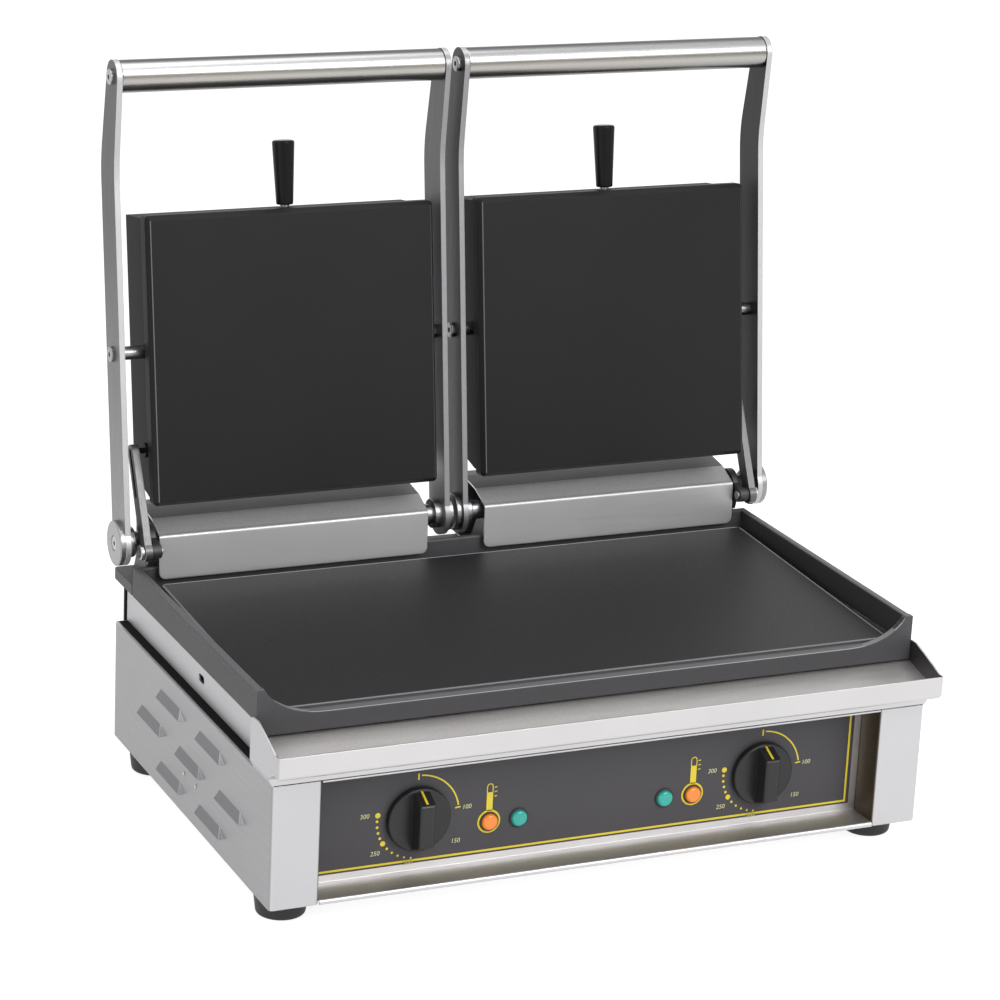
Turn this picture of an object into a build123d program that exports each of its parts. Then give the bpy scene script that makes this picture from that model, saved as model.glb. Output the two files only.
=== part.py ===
from build123d import *
import math
import os

# Double contact grill. X is to the right, Y to the back, Z up. All sizes are in millimetres.
# The heights count from the table and the depths from the front of the case posts.
# The pieces are moved along Y when they are written, so that the origin of the finished part
# is on the table, under the middle of its whole depth with both lids open.

# Case
case_width = 600.0
case_depth = 400.0
case_height = 108.0
sheet = 1.5
slip = 0.2
bend = 2.0
post_width = 43.0
recess_depth = 31.0
ledge_width = 20.0
rear_flange = 20.0
rear_screw_inset = 18.0
pan_flange = 9.0
pan_slot_count = 6
pan_slot_start = 120.0
pan_slot_pitch = 30.0
pan_slot_width = 8.0
pan_slot_x = 110.0
lip_drop = 4.0
lip_reach = 1.0

# Feet
foot_height = 20.0
foot_radius = 23.0
foot_inset_x = 25.0
foot_inset_front = 39.0
foot_inset_rear = 42.0
foot_screw_radius = 3.0
foot_recess = 8.0
foot_screw_head = 3.0

# Louvers in the side panels: hoods that stand out from the wall and are open below, in three rows
louver_length = 60.0
louver_height = 7.3
louver_reach = 5.0
louver_draft = 11.0
louver_pitch = 100.5
louver_heights = [103.5, 70.3, 37.8]
louver_starts = [111.5, 61.0, 108.5]
louver_counts = [2, 3, 2]
rivet_radius = 2.0
rivet_head = 0.8
rivet_height = 57.0
rivet_places = [179.0, 209.0]

# Vents and gland in the back panel
vent_length = 60.0
vent_height = 5.0
vent_pitch_x = 80.0
vent_pitch_z = 14.0
vent_shift_x = 40.0
vent_columns = 5
vent_rows = 4
gland_x = -215.0
gland_z = 52.0
gland_radius = 8.0
gland_nut_radius = 12.0
gland_reach = 14.0
block_length = 60.0
block_depth = 28.0
block_height = 24.0
block_rear_gap = 62.0
block_pitch = 18.0

# Controls
film_thickness = 0.4
film_margin = 7.0
film_bottom = 30.5
film_top_gap = 3.5
knob_x = 160.0
knob_z = 71.0
knob_radius = 28.0
knob_skirt = 6.0
knob_height = 22.0
knob_grip_width = 14.0
knob_grip_low = 0.92
knob_grip_high = 0.66
knob_gap = 0.6
spindle_radius = 3.0
running = 0.05
orange_x = 95.0
green_x = 68.0
lamp_z = 59.0
lamp_radius = 7.2
lamp_dome = 3.0
bezel_width = 1.4
bezel_height = 1.6
lamp_body_length = 26.0
thermostat_size = 40.0
thermostat_depth = 26.0
bushing_length = 3.5

# Upper body under the cooking plate
body_inset = 11.0
body_front = 42.0
body_rear_reach = 2.0
body_height = 42.3
body_flange = 6.0
deck_ledge = 6.0
oval_y = 201.0
oval_rise = 17.0
oval_length = 14.0
oval_height = 7.0
rear_cover_thickness = 4.0
rear_cover_overlap = 4.0
rear_cover_reach = 1.0
seal_height = 1.0
seal_edge = 3.0

# Front gutter with its side cheeks
gutter_reach = 22.0
band_rise = 13.0
band_height = 20.0
band_under = 15.0
band_round = 4.0
cheek_rear = 42.0
cheek_rise = 17.0
cheek_top_run = 7.0
cheek_slope_run = 23.0
cheek_slope_rise = 9.0
cheek_foot_drop = 6.0
cheek_clearance = 2.0
cheek_bend = 8.0
cheek_corner = 1.0
gutter_floor_rise = 17.2
gutter_floor_run = 8.0
gutter_floor_gap = 0.4
gutter_shadow = 0.8
gutter_flange = 14.0

# Lower plate
plate_overhang = 2.0
plate_drop = 12.3
plate_fit = 0.5
plate_front = 34.0
plate_rear_gap = 53.0
rim_width = 6.5
rim_height = 39.4
trough_width = 10.5
cook_front = 44.0
cook_rear_gap = 24.0
cook_rise_front = 18.5
cook_rise_rear = 30.0
lip_height = 15.3
lip_sweep = 55.0
lip_steps = 9
lip_fall = 2.2
lip_spread = 1.25
rim_round = 1.6
pocket_depth = 10.5
pocket_margin = 34.0
pocket_rib = 24.0
pocket_front_gap = 12.0

# Heating elements
element_radius = 4.0
element_bend = 22.0
element_shares = [0.14, 0.38, 0.62, 0.86]
element_end_gap = 14.0
element_step = 24.0
clamp_thickness = 3.5
clamp_width = 20.0
clamp_grip = 7.0
clamp_shares = [0.2, 0.5, 0.8]
pad_thickness = 19.0

# Hinge
hinge_base_gap = 0.3
hinge_base_inset = 3.0
hinge_base_thickness = 10.0
hinge_behind = 6.0
hinge_rise = 38.7
shaft_radius = 9.0
bracket_thickness = 6.0
outer_bracket_x = 284.0
inner_bracket_x = 36.0
outer_bracket_radius = 16.0
inner_bracket_radius = 12.0
bracket_foot = 20.0
bracket_foot_depth = 34.0
bracket_foot_height = 5.0
bracket_relief = 1.5
nose_radius = 6.5
guard_inner_x = 28.0
guard_outer_x = 282.0
guard_ahead = 19.0
guard_below = 31.0
guard_fold_above = 8.0
guard_above = 22.0
guard_flange = 15.0
guard_slope_run = 24.0
guard_slope_drop = 4.0
guard_front_lean = 1.5
spring_start = 70.0
spring_length = 110.0
spring_wire = 2.6

# Lids
arm_thickness = 5.0
arm_width = 36.0
arm_outer_face = 313.0
arm_inner_face = 6.5
arm_end_rim = 0.5
eye_radius = 20.0
elbow_behind = 46.0
elbow_below_bar = 78.0
elbow_radius = 110.0
bar_behind = 36.0
bar_radius = 14.0
hand_clearance = 48.5
collar_radius = 13.5
collar_length = 7.0
disc_thickness = 5.0
outer_disc_radius = 20.0
inner_disc_radius = 17.0
screw_radius = 4.0
screw_head_radius = 6.8
screw_head = 3.2
screw_length = 16.0
tapped_depth = 18.0
socket_radius = 2.6

# Upper plates, measured in a frame that leans with the lid: back is away from the face
lean = 8.5
pivot_behind = 24.5
pivot_rise = 164.0
face_forward = 30.0
upper_thickness = 16.0
upper_below = 132.0
upper_above = 120.0
upper_side_gap = 19.5
upper_centre_gap = 10.0
face_bevel = 5.5
face_corner = 4.0
cover_inset = 4.0
cover_back = 42.0
cover_slant_run = 44.0
cover_slant_rise = 17.0
lug_width = 20.0
loop_margin = 42.0
loop_width = 30.0
loop_end_gap = 38.0
loop_bend = 14.0
stud_radius = 6.0
stud_clearance = 0.35
stud_depth = 14.0

# Grips
grip_x = 155.0
grip_back = -10.0
grip_length = 56.0
grip_gap = 2.0
grip_radius_low = 7.5
grip_radius_high = 10.0
grip_top_round = 2.2
grip_rod_radius = 4.0
grip_rod_below = 48.0
grip_rod_cover = 8.0
grip_foot_x = 14.0
grip_foot_low = 6.0
grip_foot_high = 24.0
grip_foot_thickness = 3.0

# Stays
stay_ahead = 25.0
stay_below = 2.0
stay_angle = 64.0
stay_length = 95.0
stay_thickness = 6.5
stay_width = 14.0
stay_eye_radius = 8.5
stay_inner_x = 293.0
stay_pin_radius = 4.0
slot_start = 50.0
slot_width = 5.4
catch_distance = 89.0
catch_radius = 2.5
catch_gap = 0.4

# Heights and planes that follow from the sizes above
case_x = case_width / 2
case_bottom = foot_height
case_top = foot_height + case_height
post_x = case_x - post_width
web_front = recess_depth
film_front = web_front - film_thickness
film_top = case_top - film_top_gap
body_x = case_x - body_inset
body_top = case_top + body_height
body_rear = case_depth + body_rear_reach
oval_z = case_top + oval_rise
rear_cover_bottom = case_top - rear_cover_overlap
band_bottom = case_top + band_rise
band_top = band_bottom + band_height
gutter_floor = case_top + gutter_floor_rise
plate_x = case_x + plate_overhang
plate_bottom = body_top - plate_drop
hinge_base_rear = body_rear - hinge_base_inset
plate_rear = hinge_base_rear - plate_rear_gap
cook_rear = plate_rear - cook_rear_gap
deck_front = plate_rear - deck_ledge
hinge_base_top = body_top + hinge_base_thickness
hinge_y = plate_rear + hinge_behind
hinge_z = hinge_base_top + hinge_rise
guard_front = hinge_y - guard_ahead
guard_bottom = hinge_z - guard_below
guard_fold_z = hinge_z + guard_fold_above
guard_top = hinge_z + guard_above
stay_y = hinge_y - stay_ahead
stay_z = hinge_z - stay_below
pivot_y = hinge_y + pivot_behind
pivot_z = hinge_z + pivot_rise
grip_bottom = upper_above + grip_gap
grip_top = grip_bottom + grip_length
grip_top_z = pivot_z + grip_top * math.cos(math.radians(lean)) - grip_back * math.sin(math.radians(lean))
bar_y = hinge_y + bar_behind
bar_z = grip_top_z + hand_clearance + bar_radius
elbow_y = hinge_y + elbow_behind
elbow_z = bar_z - elbow_below_bar
cheek_x = plate_x + cheek_clearance
shaft_outer_x = arm_outer_face - arm_thickness
shaft_inner_x = arm_inner_face + arm_thickness
upper_outer_x = shaft_outer_x - upper_side_gap
upper_inner_x = shaft_inner_x + upper_centre_gap
knob_back = film_front - knob_gap

os.makedirs("parts", exist_ok=True)
nodes = {}


def slab(x, y, z):
    """Block between pairs of coordinates."""
    size = Box(x[1] - x[0], y[1] - y[0], z[1] - z[0])
    return Pos((x[0] + x[1]) / 2, (y[0] + y[1]) / 2, (z[0] + z[1]) / 2) * size


def rod_x(x, y, z, radius):
    """Round bar along X between two coordinates."""
    return Pos((x[0] + x[1]) / 2, y, z) * Rot(0, 90, 0) * Cylinder(radius, x[1] - x[0])


def rod_y(x, y, z, radius):
    """Round bar along Y between two coordinates."""
    return Pos(x, (y[0] + y[1]) / 2, z) * Rot(90, 0, 0) * Cylinder(radius, y[1] - y[0])


def rod_z(x, y, z, radius):
    """Round bar along Z between two coordinates."""
    return Pos(x, y, (z[0] + z[1]) / 2) * Cylinder(radius, z[1] - z[0])


def prism_x(points, x):
    """Closed outline of (y, z) points, drawn out along X."""
    face = Plane.YZ * make_face(Polyline(*points, close=True).edges())
    return extrude(Pos(x[0], 0, 0) * face, amount=x[1] - x[0], dir=(1, 0, 0))


def prism_y(points, y):
    """Closed outline of (x, z) points, drawn out along Y."""
    face = Plane.XZ * make_face(Polyline(*points, close=True).edges())
    return extrude(Pos(0, y[0], 0) * face, amount=y[1] - y[0], dir=(0, 1, 0))


def offset_path(path, distance):
    """The path moved to its left by a distance, with sharp corners."""
    normals = []
    for start, end in zip(path[:-1], path[1:]):
        length = math.dist(start, end)
        normals.append((-(end[1] - start[1]) / length, (end[0] - start[0]) / length))
    moved = []
    for index, point in enumerate(path):
        before = normals[max(index - 1, 0)]
        after = normals[min(index, len(normals) - 1)]
        scale = distance / (1 + before[0] * after[0] + before[1] * after[1])
        moved.append((point[0] + scale * (before[0] + after[0]), point[1] + scale * (before[1] + after[1])))
    return moved


def sheet_face(path, thickness, radius):
    """Section of a bent sheet: the path is one face, the other lies to its left, or right if negative."""
    other = offset_path(path, thickness)
    near = []
    far = []
    for before, corner, after in zip(path[:-2], path[1:-1], path[2:]):
        first = (corner[0] - before[0], corner[1] - before[1])
        second = (after[0] - corner[0], after[1] - corner[1])
        turn = first[0] * second[1] - first[1] * second[0]
        inside = turn * thickness > 0
        near.append(radius + abs(thickness) if inside else radius)
        far.append(radius if inside else radius + abs(thickness))
    edges = FilletPolyline(*path, radius=near).edges() + FilletPolyline(*other, radius=far).edges()
    edges = edges + Line(path[0], other[0]).edges() + Line(path[-1], other[-1]).edges()
    return make_face(edges)


def bent_x(path, thickness, radius, x):
    """Bent sheet with its section in (y, z), drawn out along X."""
    face = Plane.YZ * sheet_face(path, thickness, radius)
    return extrude(Pos(x[0], 0, 0) * face, amount=x[1] - x[0], dir=(1, 0, 0))


def bent_z(path, thickness, radius, z):
    """Bent sheet with its plan in (x, y), drawn out along Z."""
    face = sheet_face(path, thickness, radius)
    return extrude(Pos(0, 0, z[0]) * face, amount=z[1] - z[0], dir=(0, 0, 1))


def rounded(shape, axis, radius):
    """The shape with all its edges along one axis rounded."""
    return fillet(shape.edges().filter_by(axis), radius)


def left(shape):
    """The mirror image on the other side of the middle plane."""
    return mirror(shape, about=Plane.YZ)


def pair(shape):
    """A right-hand piece and its mirror image, as two separate solids."""
    return [shape, left(shape)]


def save(name, *shapes):
    """Keep the solids of one node until the whole part is known."""
    nodes[name] = [solid for shape in shapes for solid in shape.solids()]


def socket_screw(x0, head_x, y, z, radius, head_radius, head_height):
    """Screw along X whose head is on the outer side, with a hexagon socket."""
    shank = rod_x((x0, head_x), y, z, radius)
    head = rod_x((head_x, head_x + head_height), y, z, head_radius)
    head = fillet(head.edges().filter_by(GeomType.CIRCLE).group_by(Axis.X)[-1], head_height * 0.3)
    hexagon = Plane.YZ * RegularPolygon(socket_radius, 6)
    socket = extrude(Pos(head_x + head_height * 0.4, y, z) * hexagon, amount=head_height, dir=(1, 0, 0))
    return shank + head - socket


def facing_inwards(piece, outer_x_face, inner_x_face):
    """A piece along X turned round, so that what met one face now meets the other from the inside."""
    turned = Rot(0, 180, 0) * Pos(-outer_x_face, 0, 0) * mirror(piece, about=Plane.XY)
    return Pos(inner_x_face, 0, 0) * turned


# Side panels: wall, front post, return wall beside the fascia, rear flange and top ledge
plan = [
    (case_x - rear_flange, case_depth),
    (case_x, case_depth),
    (case_x, 0),
    (post_x, 0),
    (post_x, recess_depth + sheet),
]
side = bent_z(plan, -sheet, bend, (case_bottom, case_top))
ledge_y = (sheet + bend, case_depth - sheet - bend)
ledge_x = (case_x - ledge_width, case_x - sheet / 2)
side += slab(ledge_x, ledge_y, (case_top - sheet, case_top))
for row_z, row_start, count in zip(louver_heights, louver_starts, louver_counts):
    top_z = row_z + louver_height
    for index in range(count):
        start = row_start + index * louver_pitch
        end = start + louver_length
        hood_section = [
            (case_x - sheet / 2, row_z),
            (case_x - sheet / 2, top_z),
            (case_x, top_z),
            (case_x + louver_reach, row_z),
        ]
        hood_outline = [(start, row_z), (start + louver_draft, top_z), (end, top_z), (end, row_z)]
        hood = prism_y(hood_section, (start, end))
        hood = hood & prism_x(hood_outline, (case_x - sheet, case_x + louver_reach))
        hollow_section = [
            (case_x - sheet * 2, row_z),
            (case_x - sheet * 2, top_z + sheet * louver_height / louver_reach),
            (case_x + louver_reach - sheet, row_z),
        ]
        hollow_outline = [
            (start + sheet, row_z),
            (start + sheet + louver_draft, top_z),
            (start + sheet + louver_draft, top_z + louver_height),
            (end - sheet, top_z + louver_height),
            (end - sheet, row_z),
        ]
        hollow = prism_y(hollow_section, (start, end))
        hollow = hollow & prism_x(hollow_outline, (case_x - sheet * 3, case_x + louver_reach))
        side = side + hood - hollow
for place in rivet_places:
    side -= rod_x((case_x - sheet * 2, case_x + sheet), place, rivet_height, rivet_radius * 0.7)
save("side_panel_right", side)
save("side_panel_left", left(side))

# Rivets on both side panels
rivets = []
for place in rivet_places:
    shank = rod_x((case_x - sheet - 2, case_x), place, rivet_height, rivet_radius * 0.7)
    head = rod_x((case_x, case_x + rivet_head), place, rivet_height, rivet_radius)
    head = fillet(head.edges().filter_by(GeomType.CIRCLE).group_by(Axis.X)[-1], rivet_head * 0.6)
    rivets.extend(pair(shank + head))
save("side_rivets", *rivets)

# Bottom pan between the side panels, with flanges turned up at the sides
pan_x = case_x - sheet - slip
pan_front = recess_depth + sheet + slip
pan_rear = case_depth - sheet * 2 - slip * 3
pan_path = [
    (pan_x, case_bottom + pan_flange),
    (pan_x, case_bottom),
    (-pan_x, case_bottom),
    (-pan_x, case_bottom + pan_flange),
]
pan_face = Plane.XZ * sheet_face(pan_path, -sheet, bend)
pan = extrude(Pos(0, pan_front, 0) * pan_face, amount=pan_rear - pan_front, dir=(0, 1, 0))
wing_y = (sheet + bend, pan_front + sheet)
wing = slab((post_x + sheet + bend, pan_x - bend), wing_y, (case_bottom, case_bottom + sheet))
pan = pan + wing + left(wing)
foot_x = case_x - foot_inset_x
foot_places = [(foot_x, foot_inset_front), (foot_x, case_depth - foot_inset_rear)]
foot_places += [(-x, y) for x, y in foot_places]
for x, y in foot_places:
    pan -= rod_z(x, y, (case_bottom - sheet, case_bottom + sheet * 2), foot_screw_radius + slip)
for index in range(pan_slot_count):
    slot_y = pan_slot_start + index * pan_slot_pitch
    slot_range = (slot_y, slot_y + pan_slot_width)
    slot = slab((-pan_slot_x, pan_slot_x), slot_range, (case_bottom - 1, case_bottom + sheet + 1))
    pan -= rounded(slot, Axis.Z, pan_slot_width * 0.48)
save("bottom_pan", pan)

# Feet and the screws that hold them
feet = []
foot_screws = []
for x, y in foot_places:
    foot = Pos(x, y, foot_height / 2) * Cone(foot_radius - 2.5, foot_radius, foot_height)
    foot = fillet(foot.edges().filter_by(GeomType.CIRCLE).group_by(Axis.Z)[0], 3.0)
    foot -= rod_z(x, y, (-1, foot_recess), foot_screw_radius * 2.2)
    foot -= rod_z(x, y, (0, foot_height + 1), foot_screw_radius + slip / 2)
    feet.append(foot)
    head = rod_z(x, y, (foot_recess - foot_screw_head, foot_recess), foot_screw_radius * 2)
    foot_screws.append(head + rod_z(x, y, (foot_recess - 1, case_bottom + sheet + 8), foot_screw_radius))
save("feet", *feet)

# Back panel inside the rear flanges, with vent slots and the hole for the gland
back_y = (case_depth - sheet * 2 - slip, case_depth - sheet - slip)
back_z = (case_bottom + sheet + slip, case_top - sheet - slip)
back = slab((-pan_x + bend, pan_x - bend), back_y, back_z)
for column in range(vent_columns):
    for row in range(vent_rows):
        x = (column - (vent_columns - 1) / 2) * vent_pitch_x + vent_shift_x
        z = knob_z + (row - (vent_rows - 1) / 2) * vent_pitch_z
        vent_x = (x - vent_length / 2, x + vent_length / 2)
        slot = slab(vent_x, (back_y[0] - 1, back_y[1] + 1), (z, z + vent_height))
        back -= rounded(slot, Axis.Y, vent_height * 0.48)
back -= rod_y(gland_x, (back_y[0] - 1, back_y[1] + 1), gland_z, gland_radius + slip)
rear_screw_x = case_x - rear_flange * 0.5
rear_screws = []
screw_heights = [case_bottom + rear_screw_inset, (case_bottom + case_top) / 2, case_top - rear_screw_inset]
for z in screw_heights:
    hole = rod_y(rear_screw_x, (back_y[0] - 1, case_depth + 1), z, 2.0)
    back = back - hole - left(hole)
    head = rod_y(rear_screw_x, (case_depth, case_depth + 1.8), z, 3.6)
    head = fillet(head.edges().filter_by(GeomType.CIRCLE).group_by(Axis.Y)[-1], 1.0)
    rear_screws.append(head)
save("back_panel", back)
save("case_screws", *foot_screws, *[s for head in rear_screws for s in pair(head)])

# Cord gland: a hexagon outside, a ring nut inside and the cord's bore
gland_hexagon = Plane.XZ * RegularPolygon(gland_nut_radius, 6)
gland = extrude(Pos(gland_x, back_y[1], gland_z) * gland_hexagon, amount=gland_reach * 0.5, dir=(0, 1, 0))
gland += rod_y(gland_x, (back_y[0] - 8, back_y[1] + gland_reach), gland_z, gland_radius)
gland += rod_y(gland_x, (back_y[0] - 5, back_y[0]), gland_z, gland_nut_radius * 0.95)
gland -= rod_y(gland_x, (back_y[0] - 9, back_y[1] + gland_reach + 1), gland_z, gland_radius * 0.55)
save("cord_gland", gland)

# Terminal block on the pan
block_x = (gland_x - block_length / 2, gland_x + block_length / 2)
block_y = (case_depth - block_rear_gap - block_depth, case_depth - block_rear_gap)
block_z = (case_bottom + sheet, case_bottom + sheet + block_height)
block = slab(block_x, block_y, block_z)
for index in range(3):
    x = gland_x + (index - 1) * block_pitch
    block -= rod_z(x, (block_y[0] + block_y[1]) / 2, (block_z[1] - 8, block_z[1] + 1), 4.0)
save("terminal_block", block)

# Fascia panel: front lip, floor ledge, upright web and top flange in one bent sheet
fascia_x = post_x - slip
fascia_path = [
    (-lip_reach, case_bottom),
    (-lip_reach, case_bottom + lip_drop),
    (web_front, case_bottom + lip_drop),
    (web_front, case_top - sheet),
    (0, case_top - sheet),
]
fascia = bent_x(fascia_path, -sheet, 0.8, (-fascia_x, fascia_x))
film_x = post_x - film_margin
film = slab((-film_x, film_x), (film_front, web_front), (film_bottom, film_top))
for side_sign in (-1, 1):
    through = (film_front - 1, web_front + sheet + 1)
    spindle_hole = rod_y(side_sign * knob_x, through, knob_z, spindle_radius + 2.2)
    orange_hole = rod_y(side_sign * orange_x, through, lamp_z, lamp_radius - 1 + slip)
    green_hole = rod_y(side_sign * green_x, through, lamp_z, lamp_radius - 1 + slip)
    fascia = fascia - spindle_hole - orange_hole - green_hole
    film = film - spindle_hole - orange_hole - green_hole
save("fascia_panel", fascia)
save("fascia_film", film)

# Signal lamps: housing with its bezel, and a domed lens
housings = []
lenses_orange = []
lenses_green = []
for lamp_x in (-orange_x, -green_x, green_x, orange_x):
    bezel_y = (film_front - bezel_height, film_front)
    bezel = rod_y(lamp_x, bezel_y, lamp_z, lamp_radius + bezel_width)
    bezel = fillet(bezel.edges().filter_by(GeomType.CIRCLE).group_by(Axis.Y)[0], bezel_height * 0.5)
    housing = bezel + rod_y(lamp_x, (film_front, film_front + lamp_body_length), lamp_z, lamp_radius - 1)
    housing -= rod_y(lamp_x, (film_front - bezel_height - 1, film_front - slip), lamp_z, lamp_radius)
    housings.append(housing)
    lens_y = (film_front - bezel_height - lamp_dome, film_front - slip)
    lens = rod_y(lamp_x, lens_y, lamp_z, lamp_radius - slip / 2)
    lens = fillet(lens.edges().filter_by(GeomType.CIRCLE).group_by(Axis.Y)[0], lamp_dome * 0.9)
    if abs(lamp_x) == orange_x:
        lenses_orange.append(lens)
    else:
        lenses_green.append(lens)
save("lamp_housings", *housings)
save("lenses_orange", *lenses_orange)
save("lenses_green", *lenses_green)

# Thermostats behind the fascia, each with a bushing that carries the knob's spindle
half = thermostat_size / 2
bushing_front = web_front + sheet
case_front = bushing_front + bushing_length
thermostat_y = (case_front, case_front + thermostat_depth)
thermostat = slab((knob_x - half, knob_x + half), thermostat_y, (knob_z - half, knob_z + half))
thermostat = rounded(thermostat, Axis.Y, 4.0)
thermostat += rod_y(knob_x, (bushing_front, case_front + 1), knob_z, spindle_radius + 3)
spindle_bore_y = (bushing_front - 1, case_front + thermostat_depth * 0.6)
thermostat -= rod_y(knob_x, spindle_bore_y, knob_z, spindle_radius + running)
save("thermostats", *pair(thermostat))

# Knobs: round skirt, grip bar across it and the spindle
skirt_front = knob_back - knob_skirt
knob = rod_y(knob_x, (skirt_front, knob_back), knob_z, knob_radius)
knob = fillet(knob.edges().filter_by(GeomType.CIRCLE).group_by(Axis.Y)[0], 2.0)
grip_half = knob_grip_width / 2
grip_points = [
    (knob_back - knob_height, knob_z + knob_radius * knob_grip_high),
    (skirt_front + 1, knob_z + knob_radius * knob_grip_low),
    (skirt_front + 1, knob_z - knob_radius * knob_grip_low),
    (knob_back - knob_height, knob_z - knob_radius * knob_grip_high),
]
knob_grip = prism_x(grip_points, (knob_x - grip_half, knob_x + grip_half))
knob_grip = fillet(knob_grip.edges().group_by(Axis.Y)[0], 3.0)
spindle = rod_y(knob_x, (knob_back - 1, case_front + thermostat_depth / 2), knob_z, spindle_radius)
knob = knob + knob_grip + spindle
save("right_knob", knob)
save("left_knob", left(knob))

# Upper body: a low box of sheet that carries the cooking plate
wall_z = (case_top, body_top)
outer_box = slab((-body_x, body_x), (body_front, body_rear), wall_z)
inner_x = body_x - sheet
inner_box = slab((-inner_x, inner_x), (body_front + sheet, body_rear - sheet), (case_top - 1, body_top + 1))
body = rounded(outer_box, Axis.Z, bend + sheet) - rounded(inner_box, Axis.Z, bend)
flange_x = body_x - sheet / 2
flange_y = (body_front + sheet / 2, body_rear - sheet / 2)
low_flange = rounded(slab((-flange_x, flange_x), flange_y, (case_top, case_top + sheet)), Axis.Z, bend)
deck = rounded(slab((-flange_x, flange_x), flange_y, (body_top - sheet, body_top)), Axis.Z, bend)
window_x = body_x - body_flange
window_y = (body_front + body_flange, body_rear - body_flange)
low_window = slab((-window_x, window_x), window_y, (case_top - 1, case_top + sheet + 1))
deck_window = slab((-window_x, window_x), (window_y[0], deck_front), (body_top - sheet - 1, body_top + 1))
body = body + (low_flange - low_window) + (deck - deck_window)
oval_y_range = (oval_y - oval_length / 2, oval_y + oval_length / 2)
oval_z_range = (oval_z - oval_height / 2, oval_z + oval_height / 2)
oval = rounded(slab((body_x - sheet * 2, body_x + 1), oval_y_range, oval_z_range), Axis.X, oval_height * 0.48)
body = body - oval - left(oval)
save("upper_body", body)

# Black cover over the joint between case and upper body at the back
cover_x = body_x + rear_cover_reach
cover_y = (body_rear + slip, body_rear + slip + rear_cover_thickness)
rear_cover = rounded(slab((-cover_x, cover_x), cover_y, (rear_cover_bottom, body_top)), Axis.Y, 3.0)
save("rear_cover", rear_cover)

# Seal strips on the side ledges, beside the upper body
seal_x = (body_x + slip, case_x - seal_edge)
seal = slab(seal_x, (cheek_rear + slip, case_depth - sheet - bend), (case_top, case_top + seal_height))
save("ledge_seals", *pair(fillet(seal.edges().filter_by(Axis.Y).group_by(Axis.Z)[-1], seal_height * 0.4)))

# Heat shield, insulation and the heating elements under the plate
shield_x = body_x - sheet - slip
shield_y = (body_front + sheet + slip, body_rear - sheet - slip)
pad_bottom = case_top + sheet * 1.8
shield = rounded(slab((-shield_x, shield_x), shield_y, (case_top + sheet, pad_bottom)), Axis.Z, bend)
save("heat_shield", shield)
pad = slab((-window_x, window_x), window_y, (pad_bottom, pad_bottom + pad_thickness))
save("insulation_pad", rounded(pad, Axis.Z, 6.0))

pocket_x = (pocket_rib / 2, plate_x - pocket_margin)
pocket_y = (cook_front + pocket_front_gap, cook_rear)
pocket_top = plate_bottom + pocket_depth
element_z = pocket_top - element_radius - 0.15
leg_x = [pocket_x[0] + (pocket_x[1] - pocket_x[0]) * share for share in element_shares]
near_y = pocket_y[0] + element_end_gap
far_y = pocket_y[1] - element_end_gap
element_points = [
    (leg_x[0], near_y, element_z),
    (leg_x[0], far_y, element_z),
    (leg_x[1], far_y, element_z),
    (leg_x[1], near_y + element_step, element_z),
    (leg_x[2], near_y + element_step, element_z),
    (leg_x[2], far_y, element_z),
    (leg_x[3], far_y, element_z),
    (leg_x[3], near_y, element_z),
]
element_path = FilletPolyline(*element_points, radius=element_bend)
element_section = Plane(origin=element_points[0], z_dir=(0, 1, 0)) * Circle(element_radius)
element = sweep(element_section, path=element_path)
save("lower_elements", *pair(element))

clamps = []
clamp_x = (pocket_x[0] - clamp_grip, pocket_x[1] + clamp_grip)
for share in clamp_shares:
    y = pocket_y[0] + (pocket_y[1] - pocket_y[0] - clamp_width) * share
    clamp = slab(clamp_x, (y, y + clamp_width), (plate_bottom - clamp_thickness, plate_bottom))
    clamps.extend(pair(rounded(clamp, Axis.Z, 3.0)))
save("element_clamps", *clamps)

# Lower cooking plate: thick base, raised cooking face, rims at the sides and back, front lip
rim_inner = plate_x - rim_width
cook_x = rim_inner - trough_width
floor_top = plate_bottom + lip_height
rim_top = plate_bottom + rim_height
block_x = window_x - plate_fit
block_y = (window_y[0] + plate_fit, deck_front - plate_fit)
base_block = slab((-block_x, block_x), block_y, (plate_bottom, floor_top - 1))
skirt = slab((-plate_x, plate_x), (plate_front, body_front - plate_fit), (plate_bottom, floor_top - 1))
flange = slab((-plate_x, plate_x), (plate_front, plate_rear), (body_top, floor_top))
rim = slab((-plate_x, plate_x), (plate_front, plate_rear), (body_top, rim_top))
within_rim = (plate_front - 1, plate_rear - rim_width)
rim -= slab((-rim_inner, rim_inner), within_rim, (body_top - 1, rim_top + 1))
rim_edges = rim.faces().sort_by(Axis.Z)[-1].edges()
rim = fillet([edge for edge in rim_edges if edge.center().Y > plate_front + 1], rim_round)
cook_points = [
    (cook_front, floor_top - 1),
    (cook_front, plate_bottom + cook_rise_front),
    (cook_rear, plate_bottom + cook_rise_rear),
    (cook_rear, floor_top - 1),
]
cook_block = prism_x(cook_points, (-cook_x, cook_x))
cook_block = fillet(cook_block.edges().filter_by(Axis.Z), 5.0)
cook_block = fillet(cook_block.faces().sort_by(Axis.Z)[-1].edges(), 1.2)
sweep_points = []
for step in range(lip_steps + 1):
    share = step / lip_steps
    drop = (rim_height - lip_height) * (1 - (1 - share) ** lip_fall)
    sweep_points.append((rim_inner - lip_sweep * share ** lip_spread, rim_top - drop))
front_outline = [(-plate_x, floor_top - 2), (plate_x, floor_top - 2), (plate_x, rim_top)]
front_outline += sweep_points
front_outline += [(-x, z) for x, z in sweep_points[::-1]]
front_outline.append((-plate_x, rim_top))
front_wall = prism_y(front_outline, (plate_front, plate_front + rim_width))
plate = base_block + skirt + flange + rim + cook_block + front_wall
pocket = rounded(slab(pocket_x, pocket_y, (plate_bottom - 1, pocket_top)), Axis.Z, 8.0)
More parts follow.
